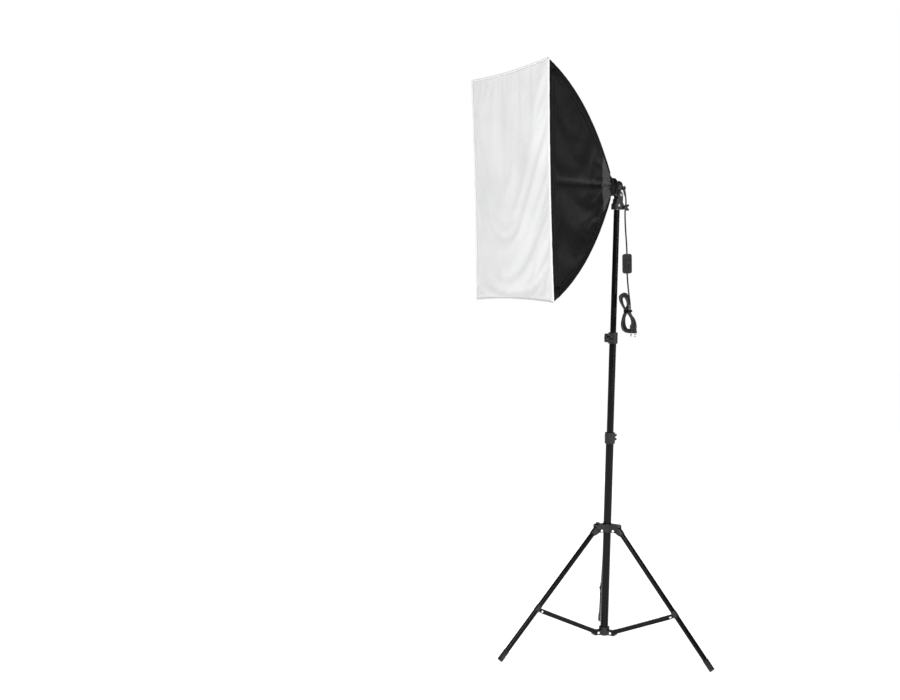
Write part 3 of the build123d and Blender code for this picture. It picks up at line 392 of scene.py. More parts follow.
def make_heather():
    """Grey-flecked reinforcing cloth at the neck."""
    material, tree = new_material("heather_patch", Sheen_Weight=0.08, Sheen_Roughness=0.5)
    flecks = blotches(
        tree, 900, 3.0, (0.36, 0.012), (0.52, 0.032), (0.66, 0.085), source="UV", stretch=(0.35, 1, 1))
    return complete(
        material, flecks, blotches(tree, 60, 3.0, (0.3, 0.7), (0.7, 0.9)),
        (weave_height(tree, 0.0013), 0.00025), (grain(tree, 80, 3.0), 0.0005))


def make_lining():
    """Silver-coated inner face: crumpled foil over a weave."""
    material, tree = new_material("silver_lining", Metallic=0.85)
    crumple = grain(tree, 60, 6.0)
    return complete(
        material, ramp(tree, crumple, (0.3, (0.55, 0.56, 0.57)), (0.7, (0.78, 0.79, 0.80))),
        blotches(tree, 30, 3.0, (0.3, 0.32), (0.7, 0.5)),
        (crumple, 0.0012), (weave_height(tree, 0.0011), 0.0001))


def make_diffuser_cloth():
    """White diffusion nylon: close weave, faint slubs, slightly uneven whiteness."""
    material, tree = new_material("diffusion_cloth", Sheen_Weight=0.15, Sheen_Roughness=0.5, Specular_IOR_Level=0.25)
    weave = weave_height(tree, 0.0009)
    slubs = blotches(tree, 260, 3.0, (0.55, 0.0), (0.75, 1.0), source="UV", stretch=(1, 0.03, 1))
    base = blotches(tree, 7, 5.0, (0.3, (0.80, 0.802, 0.806)), (0.7, (0.87, 0.872, 0.875)))
    slubbed = blend_colors(tree, combine(tree, slubs, 0.12), base, (0.70, 0.70, 0.70))
    return complete(
        material, blend_colors(tree, 0.06, slubbed, weave, "MULTIPLY"),
        blotches(tree, 45, 2.0, (0.3, 0.72), (0.7, 0.88)), (weave, 0.00012), (grain(tree, 26, 4.0), 0.0006))


def make_binding():
    """Bright white twill binding round the diffuser."""
    material, tree = new_material("white_binding", Sheen_Weight=0.2, Sheen_Roughness=0.5, Specular_IOR_Level=0.3)
    twill = stripes(tree, 420, "DIAGONAL")
    return complete(
        material, ramp(tree, twill, (0.2, 0.80), (0.8, 0.93)), blotches(tree, 200, 2.0, (0.3, 0.65), (0.7, 0.85)),
        (twill, 0.00015), (grain(tree, 90, 3.0), 0.0003))


def make_thread():
    """Twisted black sewing thread."""
    material, tree = new_material("black_thread", Sheen_Weight=0.2, Sheen_Roughness=0.4)
    twist = stripes(tree, 1500, "DIAGONAL")
    return complete(
        material, ramp(tree, twist, (0.2, 0.01), (0.8, 0.045)), blotches(tree, 400, 2.0, (0.3, 0.5), (0.7, 0.7)),
        (twist, 0.00008))


def make_vinyl():
    """Black vinyl of the mains lead: soft shine, rubbed dull patches, faint wrinkles."""
    material, tree = new_material("cord_vinyl", Specular_IOR_Level=0.5, Coat_Weight=0.15, Coat_Roughness=0.3)
    return complete(
        material, blotches(tree, 130, 4.0, (0.35, 0.007), (0.7, 0.02)),
        blotches(tree, 90, 3.0, (0.3, 0.32), (0.7, 0.5)), (grain(tree, 700), 0.00006), (grain(tree, 180), 0.00012))


def make_glazed(name, low, high, gloss):
    """Glazed or glossy pale part: faint clouding, pinholes and thin dirt."""
    material, tree = new_material(name, Coat_Weight=0.5, Coat_Roughness=0.08)
    pits = blotches(tree, 700, 2.0, (0.70, 0.0), (0.78, 0.8))
    base = blotches(tree, 50, 4.0, (0.3, low), (0.7, high))
    return complete(
        material, blend_colors(tree, pits, base, tuple(part * 0.6 for part in low)),
        blotches(tree, 140, 3.0, (0.3, gloss), (0.7, gloss + 0.15)), (grain(tree, 350), 0.00005), (pits, 0.00004))


def make_floor():
    """Pale seamless studio floor."""
    material, tree = new_material(
        "studio_floor", Specular_IOR_Level=0.1, Emission_Color=(1, 1, 1, 1), Emission_Strength=0.75)
    return complete(
        material, blotches(tree, 1.5, 3.0, (0.3, 0.90), (0.7, 0.93)),
        blotches(tree, 4, 3.0, (0.3, 0.75), (0.7, 0.9)), (grain(tree, 60, 3.0), 0.0002))


paint = make_paint()
casting = make_moulded("satin_casting", 0.009, 0.34, 1400)
knob_plastic = make_moulded("knob_plastic", 0.008, 0.28, 900)
rubber = make_rubber()
nickel = make_metal("bright_nickel", (0.86, 0.85, 0.82), 0.10, (1, 1, 0.1))
spring_steel = make_metal("spring_steel", (0.45, 0.45, 0.46), 0.3, (0.1, 0.1, 1))
brass = make_metal("brass", (0.80, 0.60, 0.28), 0.2, (1, 1, 0.1))
nylon = make_nylon("black_nylon", 0.0035, 0.0080, 0.42)
lip_nylon = make_nylon("lip_nylon", 0.0020, 0.0045, 0.55)
webbing = make_webbing()
heather = make_heather()
lining = make_lining()
diffusion = make_diffuser_cloth()
binding = make_binding()
black_thread = make_thread()
vinyl = make_vinyl()
porcelain = make_glazed("porcelain", (0.80, 0.78, 0.72), (0.88, 0.87, 0.83), 0.12)
lamp_plastic = make_glazed("lamp_plastic", (0.82, 0.82, 0.79), (0.88, 0.88, 0.86), 0.22)
lamp_glass = make_glazed("lamp_glass", (0.88, 0.88, 0.85), (0.94, 0.94, 0.92), 0.10)

# ---------- mains lead
CORD = 0.005
UPPER_ROUTE = [
    (0.0186, 0.0184, 1.4600), (0.0209, 0.0215, 1.4445), (0.0216, 0.0165, 1.4140),
    (0.0240, 0.0186, 1.3600), (0.0286, 0.0216, 1.3120), (0.0300, 0.0240, 1.2760),
]
LOWER_ROUTE = [
    (0.0320, 0.0255, 1.2140), (0.0338, 0.0270, 1.1880), (0.0396, 0.0290, 1.1500), (0.0446, 0.0330, 1.1130),
]
TAIL_ROUTE = [(0.0599, 0.0273, 1.0890), (0.0669, 0.0320, 1.0640)]
HANK_WAIST = Vector((0.0414, 0.0249, 1.0960))
HANK_SIDE = Vector((VIEW_X, VIEW_Y, 0))
HANK_FACE = Vector((VIEW_Y, -VIEW_X, 0))
HANK_TURNS = 7
# Each lobe: lean from the vertical in degrees, length and half width of its largest turn.
UPPER_LOBE = (17.0, 0.058, 0.0130)
LOWER_LOBE = (6.0, 0.072, 0.0205)
# One lobe's outline from the waist and back, as shares of its half width and length.
LOBE = (
    (0.42, 0.16), (0.86, 0.38), (1.0, 0.68), (0.64, 0.97), (-0.64, 0.97), (-1.0, 0.68), (-0.86, 0.38), (-0.42, 0.16),
)
# Tie round the waist: half its height, and the strands' reach along the waist that it gathers.
TIE_HALF, TIE_GRIP = 0.004, 0.003


def hank_point(across, height, out):
    return HANK_WAIST + HANK_SIDE * across + Z * height + HANK_FACE * out


def hank_points():
    """Figure-of-eight turns that cross at the tied waist; they differ in size, lean and depth."""
    rng = random.Random(11)
    points = []
    for turn in range(HANK_TURNS):
        row, layer = turn // 2 - 1.5, turn % 2
        order = (turn * 3) % HANK_TURNS
        for lobe, (lean, length, width) in ((-1, LOWER_LOBE), (1, UPPER_LOBE)):
            long = 1.0 - 0.028 * order + rng.uniform(-0.02, 0.02)
            wide = 1.0 - 0.065 * order + rng.uniform(-0.03, 0.03)
            tilt = radians(lean + rng.uniform(-7, 7))
            fan = 0.0050 * (row + 0.5 * (layer - 0.5)) + rng.uniform(-0.001, 0.001)
            for share_across, share_up in LOBE:
                across, height = width * wide * share_across, length * long * share_up
                near_waist = exp(-((height / 0.014) ** 2))
                slot = 0.0036 * row * near_waist
                depth = (0.0025 + 0.005 * layer) * (1 if across * lobe < 0 else -1)
                out = near_waist * depth + (1 - near_waist) * fan
                x = across * cos(tilt) - lobe * height * sin(tilt)
                y = lobe * (height * cos(tilt) + lobe * across * sin(tilt))
                points.append(hank_point(x + slot, y, out))
    return points


def read_spline(name, controls, steps):
    """Smooth line through a NURBS spline's own points."""
    curve = bpy.data.curves.new(name, "CURVE")
    curve.dimensions = "3D"
    curve.resolution_u = steps
    spline = curve.splines.new("NURBS")
    spline.points.add(len(controls) - 1)
    for point, place in zip(spline.points, controls):
        point.co = (*place, 1)
    spline.order_u = 3
    spline.use_endpoint_u = True
    holder = bpy.data.objects.new(name, curve)
    mesh = bpy.data.meshes.new_from_object(holder)
    line = [vertex.co.copy() for vertex in mesh.vertices]
    bpy.data.objects.remove(holder)
    bpy.data.curves.remove(curve)
    bpy.data.meshes.remove(mesh)
    return line


lead_line = read_spline("lead_route", UPPER_ROUTE + LOWER_ROUTE + hank_points() + TAIL_ROUTE, 8)
mains_lead = add_tube("mains_lead", lead_line, CORD / 2, 10)
mains_lead.data.materials.append(vinyl)
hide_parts("cord_upper", "cord_lower", "cord_hank")
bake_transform(mains_lead)


def hull_ring(count, extra):
    """Outline that hugs the strands at the hank's waist, as (middle, way, reach) at each turn."""
    offsets = [point - HANK_WAIST for point in lead_line]
    offsets = [offset for offset in offsets if abs(offset.z) < TIE_GRIP and offset.xy.length < 0.03]
    across = [offset.dot(HANK_SIDE) for offset in offsets]
    out = [offset.dot(HANK_FACE) for offset in offsets]
    middle = Vector(((min(across) + max(across)) / 2, (min(out) + max(out)) / 2))
    ring = []
    for way in map(Vector, circle(count)):
        reach = max(way.dot(Vector((a, b)) - middle) for a, b in zip(across, out)) + CORD / 2 + extra
        ring.append((middle, way, reach))
    return ring


def add_tie():
    """Hook-and-loop tie round the waist, with its overlapping end."""
    count, steps = 40, 9
    points = []
    rings = [hull_ring(count, extra) for extra in (0.0001, 0.0013)]
    reach = [sum(entry[2] for entry in ring) / count for ring in rings]
    for k in range(count):
        for ring, height in ((0, -TIE_HALF), (1, -TIE_HALF), (1, TIE_HALF), (0, TIE_HALF)):
            middle, way, far = rings[ring][k]
            soft = 0.65 * far + 0.35 * reach[ring]
            flat = middle + way * soft
            points.append(hank_point(flat.x, height + 0.0004 * sin(k * 1.3), flat.y))
    band = (points, grid_faces(count, 4, close_rows=True, close_columns=True))
    end = []
    for k in range(steps):
        middle, way, far = rings[1][(k + 33) % count]
        lift = 0.0004 + 0.0012 * max(0, k - 5) / 3
        flat = middle + way * (0.65 * far + 0.35 * reach[1])
        outer = middle + way * (0.65 * far + 0.35 * reach[1] + 0.0011 + lift)
        for place, height in ((flat, -TIE_HALF), (outer, -TIE_HALF), (outer, TIE_HALF), (flat, TIE_HALF)):
            end.append(hank_point(place.x, height * (1.0 - 0.02 * k), place.y))
    tie = join_parts("hank_tie", [band, (end, grid_faces(steps, 4, close_columns=True) + end_caps(steps, 4))])
    round_edges(tie, 0.0005)
    tie.data.materials.append(webbing)
    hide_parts("cord_tie")
    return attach(tie, "swivel")


def round_edges(piece, width):
    """Small bevel on the sharp edges, so that they catch the light."""
    weld = piece.modifiers.new("weld", "WELD")
    weld.merge_threshold = 0.000002
    bevel = piece.modifiers.new("bevel", "BEVEL")
    bevel.width = width
    bevel.segments = 2
    bevel.limit_method = "ANGLE"
    bevel.angle_limit = radians(35)
    bevel.harden_normals = False
    smooth = piece.modifiers.new("weighted_normals", "WEIGHTED_NORMAL")
    smooth.keep_sharp = True


def add_plug():
    """Moulded two-pin plug: waisted body with grip ribs, collar towards the lead, nickel pins."""
    top = Vector(TAIL_ROUTE[-1])
    half_width, half_depth = 0.0120, 0.0065
    across, out = HANK_SIDE, HANK_FACE
    sections = (
        (0.0020, 0.30, 0.50), (0.0000, 0.34, 0.56), (-0.0050, 0.36, 0.60), (-0.0080, 0.52, 0.78),
        (-0.0120, 0.84, 0.96), (-0.0170, 0.92, 1.00), (-0.0230, 0.84, 0.92), (-0.0290, 0.92, 0.98),
        (-0.0340, 1.00, 1.00), (-0.0374, 1.00, 1.00), (-0.0380, 0.97, 0.95),
    )
    sides, squareness = 28, 0.6
    points = []
    for height, wide, deep in sections:
        for turn in circle(sides):
            x, y = (abs(part) ** squareness * (1 if part > 0 else -1) for part in turn)
            points.append(top + across * x * half_width * wide + out * y * half_depth * deep + Z * height)
    parts = [(points, grid_faces(len(sections), sides, close_columns=True) + end_caps(len(sections), sides))]
    for face in (-1, 1):
        for rib in range(5):
            height = -0.0150 - 0.0032 * rib
            line = [
                top + out * face * (half_depth * 0.95) + across * (half_width * 0.55 * step) + Z * height
                for step in (-1, -0.5, 0, 0.5, 1)
            ]
            parts.append(tube_parts(line, 0.0008, 8))
    plug = join_parts("plug_shell", parts)
    plug.data.materials.append(knob_plastic)
    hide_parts("mains_plug")
    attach(plug, "swivel")
    pins = []
    for side in (-1, 1):
        root = top + across * side * 0.0065 - Z * 0.036
        pins.append(turned_parts(root, -Z, [(0.0, 0.0020), (0.0155, 0.0020), (0.0166, 0.0016), (0.0170, 0.0008)]))
        pins.append(turned_parts(root, -Z, [(0.0, 0.0026), (0.0030, 0.0026), (0.0034, 0.0022)]))
    blades = join_parts("plug_pin_pair", pins)
    blades.data.materials.append(nickel)
    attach(blades, "swivel")
    return plug, blades


hank_tie = add_tie()
plug_shell, plug_pins = add_plug()

# ---------- softbox shape
TILT = radians(3.1)
LAMP_RISE = 0.027
WIDTH, HEIGHT = 0.500, 0.700
REAR, FRONT = 0.046, 0.388
LIP = 0.360
BOW = 0.041
REAR_HALF_DIAGONAL = 0.046
PATCH_SHARE = 0.175
POCKET_WIDTH = 0.033
RIGHT = Vector((1, 0, 0))
UP = Vector((0, -sin(TILT), cos(TILT)))
AHEAD = Vector((0, -cos(TILT), -sin(TILT)))
tilt_joint = next(joint for joint in frame["joints"] if joint["name"] == "head_tilt")
LAMP = Vector(tilt_joint["pos_m"]) + UP * LAMP_RISE
DIAGONAL = hypot(WIDTH, HEIGHT)
SIDES = {"right": (1, 0), "top": (0, 1), "left": (-1, 0), "bottom": (0, -1)}
# The sides in order round the face, with the way each one runs.
ROUND_FACE = (("right", 1), ("top", -1), ("left", -1), ("bottom", 1))
# Sides whose grids need their faces turned to look outward.
TURNED_SIDES = ("left", "top")


def head_point(x, y, depth):
    return LAMP + RIGHT * x + UP * y + AHEAD * depth


def depth_share(depth):
    return (depth - REAR) / (FRONT - REAR)


def half_sizes(depth):
    """Half width and half height of the box of fabric at a depth."""
    share = depth_share(depth)
    corner = REAR_HALF_DIAGONAL + (DIAGONAL / 2 - REAR_HALF_DIAGONAL) * share + 4 * BOW * share * (1 - share)
    return corner * WIDTH / DIAGONAL, corner * HEIGHT / DIAGONAL


def half_side(side, depth):
    """Half the length of one side at a depth."""
    half_width, half_height = half_sizes(depth)
    return half_height if SIDES[side][0] else half_width


def narrowing(depth):
    """How much the pockets narrow towards the neck."""
    return min(1.0, 0.35 + (depth - REAR) / 0.09)


def spread(index, count):
    """Equal steps from -1 to 1."""
    return -1 + 2 * index / (count - 1)


def pull_in(share, reach):
    """How far the cloth between two rods is pulled in, by depth share and place across (-1 to 1)."""
    middle = 1 - reach * reach
    return (0.0075 * share + 0.014 * 4 * share * (1 - share)) * middle


def side_point(side, depth, reach, out=0.0):
    """Point on one of the four sides: reach runs from -1 to 1 between its corners."""
    half_width, half_height = half_sizes(depth)
    share = max(0.0, depth_share(depth))
    inward = pull_in(share, reach) - out
    way_x, way_y = SIDES[side]
    if way_x:
        return head_point(way_x * (half_width - inward), reach * half_height, depth)
    return head_point(reach * half_width, way_y * (half_height - inward), depth)


def side_normal(side):
    way_x, way_y = SIDES[side]
    return RIGHT * way_x + UP * way_y


def ridge(distance, width):
    """Soft ridge, 1 at its middle."""
    return exp(-((distance / width) ** 2))


def panel_folds(side, share, reach):
    """Folds in a side panel, positive outward: one storage crease, soft diagonal pulls and neck puckers."""
    seed = {"right": 3.1, "top": 7.7, "left": 12.9, "bottom": 19.3}[side]
    open_share = (1 - reach * reach) ** 0.7
    crease = -0.0080 * ridge(reach, 0.011 + 0.03 * (1 - share)) * min(1.0, 6 * (1.05 - share))
    crease += 0.0028 * (ridge(reach - 0.09, 0.06) + ridge(reach + 0.09, 0.06))
    pulls = 0.0
    folds = ((0.55, -0.55, 0.0040), (-0.30, 0.45, 0.0045), (-0.75, 0.35, 0.0030), (0.25, -0.2, 0.0026))
    for k, (start, lean, size) in enumerate(folds):
        fold = size * ridge(reach - start - lean * (share - 0.5), 0.09 + 0.03 * k)
        pulls += fold * sin(pi * min(1.0, share * 1.1)) ** 0.6
    wander = uneven(share * 3.2, reach * 2.6, seed) * 0.0055
    wander += uneven(share * 8.5, reach * 6.5, seed + 4) * 0.0016
    neck = 0.0016 * sin(26 * reach + seed) * ridge(share, 0.16)
    lip = 0.0012 * uneven(reach * 24, share * 2, seed) * ridge(1 - share, 0.05)
    return (crease + pulls + wander) * open_share + (neck + lip) * open_share


def add_panel(side):
    """One side panel from the neck to the lip, black outside and silver inside.

    The cloth is pinned under the neck patch and the rod pockets, and settles between them.
    """
    rows, columns = 46, 61
    points, uvs = [], []
    for i in range(rows):
        share = i / (rows - 1)
        depth = REAR + (LIP - REAR) * share
        half = half_side(side, depth)
        for j in range(columns):
            reach = spread(j, columns)
            points.append(side_point(side, depth, reach, panel_folds(side, share, reach)))
            uvs.append((reach * half, depth * 1.25))
    faces = grid_faces(rows, columns, flip=side in TURNED_SIDES)
    piece = add_piece(f"side_panel_{side}", points, faces, uvs)
    held = []
    for i in range(rows):
        half = half_side(side, REAR + (LIP - REAR) * i / (rows - 1))
        for j in range(columns):
            from_seam = (1 - abs(spread(j, columns))) * half
            if i < PATCH_SHARE * rows + 1 or i == rows - 1 or from_seam < POCKET_WIDTH:
                held.append(i * columns + j)
    simulate(piece, held, growth=0.006, bending=3.0)
    thicken(piece, 0.0009, nylon, lining)
    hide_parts(f"panel_{side}")
    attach(piece, "head")


for side in SIDES:
    add_panel(side)


def add_lip():
    """Black band from the panels to the front edge, with puckers along its seam and a turned hem."""
    around = []
    levels = (
        (LIP - 0.0035, 0.0004), (LIP - 0.0005, 0.0022), (LIP + 0.0020, 0.0030), (LIP + 0.0050, 0.0008),
        (LIP + 0.0100, 0.0018), (LIP + 0.0160, 0.0020), (LIP + 0.0210, 0.0014), (FRONT - 0.0040, 0.0012),
        (FRONT - 0.0006, 0.0010),
    )
    for side, way in ROUND_FACE:
        count = 71 if SIDES[side][0] else 51
        for j in range(count):
            around.append((side, way * (-1 + 2 * j / count)))
    points, uvs = [], []
    for level, (depth, out) in enumerate(levels):
        run = 0.0
        for number, (side, reach) in enumerate(around):
            ends = min(1.0, (1 - abs(reach)) * 6)
            pucker = uneven(number * 0.55, level * 0.55, 2.2) * 0.0030
            slow = uneven(number * 0.13, level * 0.3, 9.1) * 0.0020
            hem = 0.0009 if level in (7, 8) else 0.0
            lift = out + hem + (pucker + slow) * ends * (1.0 if 0 < level < 7 else 0.3)
            points.append(side_point(side, depth, reach, lift))
            uvs.append((run, depth))
            run += 0.0098
    faces = grid_faces(len(levels), len(around), close_columns=True)
    piece = add_piece("lip_band", points, faces, uvs)
    thicken(piece, 0.0012, lip_nylon, lining)
    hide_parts("front_lip")
    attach(piece, "head")


add_lip()


def diffuser_folds(x, y):
    """Wrinkles of the front cloth, positive outward; x and y run from -1 to 1."""
    inside = ((1 - x * x) * (1 - y * y)) ** 0.45
    height = 0.0
    folds = (
        (-0.78, 0.05, 0.10, 0.0028), (-0.60, 0.02, 0.07, 0.0020), (-0.36, -0.04, 0.09, 0.0016),
        (-0.10, 0.06, 0.12, 0.0014), (0.70, 0.03, 0.10, 0.0016), (0.86, 0.02, 0.05, 0.0022),
    )
    diagonals = ((0.22, 0.85, 0.13, 0.0060), (0.50, 0.80, 0.08, 0.0036), (-0.14, 0.95, 0.09, 0.0030))
    for start, lean, width, size in folds:
        sway = 0.05 * sin(2.3 * y + 9 * start)
        height += size * ridge(x - start - lean * y - sway, width) * (0.6 + 0.4 * sin(3 * y + 7 * start))
    for start, slope, width, size in diagonals:
        height += size * ridge(x - start - slope * (y + 0.15), width) * ridge(y + 0.25, 0.75)
    for corner_x, corner_y in ((1, 1), (-1, 1), (1, -1), (-1, -1)):
        dx, dy = (corner_x - x) * corner_x, (corner_y - y) * corner_y
        spoke = sin(9 * np.arctan2(dy, dx + 1e-6))
        height += 0.0016 * spoke * exp(-(dx * dx + dy * dy) / 0.22)
    height += 0.0035 * uneven(x * 2.2, y * 2.6, 5.5)
    height += 0.0010 * uneven(x * 9, y * 7, 1.5)
    hem = 0.0009 * uneven(x * 30, y * 42, 8.8) * (ridge(1 - abs(x), 0.05) + ridge(1 - abs(y), 0.04))
    return height * inside + hem


def front_point(x, y, out=0.0):
    """Point on the front face, whose edges are pulled in between the corners."""
    half_width = WIDTH / 2 - pull_in(1.0, y) * abs(x) ** 3
    half_height = HEIGHT / 2 - pull_in(1.0, x) * abs(y) ** 3
    return head_point(x * half_width, y * half_height, FRONT + out)


def add_diffuser():
    """White front cloth, stretched over the lip, with soft vertical and diagonal wrinkles."""
    columns, rows = 76, 106
    points, uvs = [], []
    for i in range(rows):
        for j in range(columns):
            x, y = spread(j, columns), spread(i, rows)
            edge = ridge(1 - max(abs(x), abs(y)), 0.012)
            points.append(front_point(x, y, diffuser_folds(x, y) - 0.002 - 0.002 * edge))
            uvs.append((x * WIDTH / 2, y * HEIGHT / 2))
    piece = add_piece("diffuser_cloth", points, grid_faces(rows, columns), uvs)
    edge = [i * columns + j for i in range(rows) for j in range(columns)
            if i in (0, rows - 1) or j in (0, columns - 1)]
    simulate(piece, edge, growth=0.0035, bending=2.5)
    thicken(piece, 0.0006, diffusion)
    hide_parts("diffuser")
    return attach(piece, "head")


diffuser_cloth = add_diffuser()


def front_edge(per_side, out, depth):
    """Closed line round the front edge, cut in at the corners."""
    line = []
    corner = 0.006
    for side, way in ROUND_FACE:
        for j in range(per_side):
            reach = way * (-1 + 2 * (j + 0.5) / per_side)
            near_corner = max(0.0, abs(reach) - 0.985) / 0.015
            edge = side_point(side, FRONT, reach, out - corner * near_corner**2 * 0.5)
            line.append(edge - AHEAD * (FRONT - depth))
    return line


def add_binding():
    """White binding that rolls over the front edge, uneven as sewn by hand."""
    line = front_edge(80, 0.0004, FRONT - 0.0022)
    wobble = []
    for k, point in enumerate(line):
        run = k * 0.35
        drift = Vector((uneven(run, 0, 0), uneven(0, run, 0), uneven(0, 0, run)))
        wobble.append(point + drift * 0.0005)
    radii = [0.0029 + 0.0003 * uneven(k * 0.6, 3.3, 0) for k in range(len(line))]
    piece = add_tube("diffuser_binding", wobble, radii, 10, closed=True)
    piece.data.materials.append(binding)
    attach(piece, "head")
    return piece


diffuser_binding = add_binding()


# ---------- rod pockets, seams and patches
def corner_line(quarter, steps, start, end):
    """Corner seam points with the two side directions that meet there."""
    x_way = 1 if quarter in (0, 3) else -1
    y_way = 1 if quarter in (0, 1) else -1
    line = []
    for k in range(steps):
        depth = start + (end - start) * k / (steps - 1)
        half_width, half_height = half_sizes(depth)
        line.append((head_point(x_way * half_width, y_way * half_height, depth), RIGHT * x_way, UP * y_way, depth))
    return line


def add_pocket(quarter):
    """Webbing pocket that wraps one corner rod, with the rod's round ridge under it."""
    # Place along the cloth and lift off it: first on the one side of the corner, then on the other.
    section = (
        (-0.030, 0.0012), (-0.027, 0.0022), (-0.018, 0.0024), (-0.011, 0.0030), (-0.006, 0.0036), (-0.0016, 0.0030),
        (-0.0008, 0.0026), (-0.0010, 0.0030), (-0.006, 0.0036), (-0.011, 0.0030), (-0.018, 0.0024), (-0.027, 0.0022),
        (-0.030, 0.0012),
    )
    steps, corner = 70, 6
    points, uvs = [], []
    for k, (place, x_way, y_way, depth) in enumerate(corner_line(quarter, steps, REAR + 0.004, LIP - 0.001)):
        narrow = narrowing(depth)
        share = depth_share(depth)
        half_width, half_height = half_sizes(depth)
        for number, (along, lift) in enumerate(section):
            ripple = 0.0010 * uneven(depth * 60, number * 1.7, quarter * 5)
            first = number <= corner
            way, out, half = (y_way, x_way, half_height) if first else (x_way, y_way, half_width)
            drop = pull_in(share, 1 + along * narrow / half)
            points.append(place + way * along * narrow + out * (lift + ripple - drop))
            uvs.append((number * 0.005, depth * 1.3))
    faces = grid_faces(steps, len(section), flip=quarter in (1, 3))
    piece = add_piece(f"rod_pocket_{quarter + 1}", points, faces, uvs)
    smooth_once(piece)
    thicken(piece, 0.0008, webbing)
    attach(piece, "head")


for quarter in range(4):
    add_pocket(quarter)


def stitch_parts(line, normals, length, gap, radius):
    """Short rounded stitches along a line."""
    parts = []
    run, target = 0.0, 0.0
    for (before, after), normal in zip(zip(line, line[1:]), normals):
        step = (after - before).length
        way = (after - before) / max(step, 1e-9)
        while target < run + step:
            start = before + way * (target - run)
            middle = start + way * length / 2 + normal * radius * 0.9
            stitch = [start, middle - way * length * 0.2, middle + way * length * 0.2, start + way * length]
            parts.append(tube_parts(stitch, radius, 5))
            target += length + gap
        run += step
    return parts


def add_pocket_stitches():
    """Seams of the rod pockets and of the lip, as rows of single stitches."""
    parts = []
    for quarter in range(4):
        for along_y in (True, False):
            line, normals = [], []
            for place, x_way, y_way, depth in corner_line(quarter, 60, REAR + 0.02, LIP - 0.006):
                half_width, half_height = half_sizes(depth)
                inset = 0.0265 * narrowing(depth)
                way, out, half = (y_way, x_way, half_height) if along_y else (x_way, y_way, half_width)
                drop = pull_in(depth_share(depth), 1 - inset / half)
                line.append(place - way * inset + out * (0.0024 - drop))
                normals.append(out)
            parts += stitch_parts(line, normals, 0.0032, 0.0014, 0.00038)
    for side in SIDES:
        count = 80
        line = [side_point(side, LIP + 0.0085, -0.97 + 1.94 * k / count, 0.0022) for k in range(count + 1)]
        parts += stitch_parts(line, [side_normal(side)] * count, 0.0034, 0.0016, 0.0004)
    piece = join_parts("seam_stitches", parts)
    piece.data.materials.append(black_thread)
    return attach(piece, "head")


add_pocket_stitches()


def add_patch(side):
    """Grey reinforcing cloth at the neck end of a panel."""
    rows, columns = 12, 27
    points, uvs = [], []
    for i in range(rows):
        share = i / (rows - 1) * PATCH_SHARE
        depth = REAR + 0.002 + (LIP - REAR) * share
        half = half_side(side, depth)
        limit = 1 - 0.020 * narrowing(depth) / half
        for j in range(columns):
            reach = limit * spread(j, columns)
            lift = panel_folds(side, share, reach) + 0.0012 + 0.0003 * uneven(reach * 9, share * 60, 4)
            points.append(side_point(side, depth, reach, lift))
            uvs.append((reach * half, depth * 1.25))
    faces = grid_faces(rows, columns, flip=side in TURNED_SIDES)
    piece = add_piece(f"neck_patch_{side}", points, faces, uvs)
    thicken(piece, 0.0009, heather)
    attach(piece, "head")


for side in SIDES:
    add_patch(side)


def add_neck():
    """Gathered sleeve from the lamp holder's collar to the four panels, with its drawn elastic."""
    columns = 96
    levels = (
        (0.0150, 0.0, 0.0245), (0.0170, 0.0, 0.0258), (0.0200, 0.0, 0.0262), (0.0225, 0.0, 0.0240),
        (0.0245, 0.0, 0.0236), (0.0270, 0.0, 0.0256), (0.0310, 0.12, 0.0262), (0.0360, 0.40, 0.0262),
        (0.0420, 0.75, 0.0262), (0.0470, 0.97, 0.0262), (0.0520, 1.0, 0.0262),
    )
    points, uvs = [], []
    for depth, square, radius in levels:
        half_width, half_height = half_sizes(max(depth, REAR))
        for j in range(columns):
            turn = 2 * pi * j / columns
            across, up = cos(turn), sin(turn)
            gather = 0.0009 * sin(24 * turn) + 0.0006 * uneven(across * 4, up * 4, depth * 90)
            gather *= 1 - 0.75 * square
            box_x, box_y = half_width + 0.0012, half_height + 0.0012
            box_radius = min(box_x / max(abs(across), 1e-6), box_y / max(abs(up), 1e-6))
            soft = (abs(across / box_x) ** 7 + abs(up / box_y) ** 7) ** (-1 / 7)
            reach = radius * (1 - square) + min(box_radius, soft * 1.02) * square + gather
            points.append(head_point(across * reach, up * reach, depth))
            uvs.append((turn * 0.03, depth))
    piece = add_piece("neck_gather", points, grid_faces(len(levels), columns, close_columns=True), uvs)
    smooth_once(piece)
    thicken(piece, 0.0010, nylon, lining)
    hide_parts("neck_sleeve")
    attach(piece, "head")
    ring = [head_point(0.0246 * x, 0.0246 * y, 0.0236) for x, y in circle(64)]
    elastic = add_tube("neck_elastic", ring, 0.0012, 8, closed=True)
    elastic.data.materials.append(webbing)
    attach(elastic, "head")


add_neck()


def add_pull_tabs():
    """Short webbing tabs at the ends of the lip seam, one by each corner of the right and left sides."""
    parts = []
    for side in ("right", "left"):
        normal = side_normal(side)
        for reach in (-0.93, 0.93):
            base = side_point(side, LIP + 0.004, reach, 0.0025)
            along = UP * (1 if reach > 0 else -1)
            line = [
                base - AHEAD * 0.010, base + normal * 0.0024 - AHEAD * 0.002,
                base + normal * 0.0034 + AHEAD * 0.008, base + AHEAD * 0.016,
            ]
            points = []
            for place in line:
                for across, out in ((-0.007, 0), (0.007, 0), (0.007, 0.0012), (-0.007, 0.0012)):
                    points.append(place + along * across + normal * out)
            parts.append((points, grid_faces(len(line), 4, close_columns=True) + end_caps(len(line), 4)))
    piece = join_parts("lip_tabs", parts)
    piece.data.materials.append(webbing)
    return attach(piece, "head")


add_pull_tabs()


# ---------- small hardware
BRACE_RISE, BRACE_LENGTH = radians(22.59), 0.22523


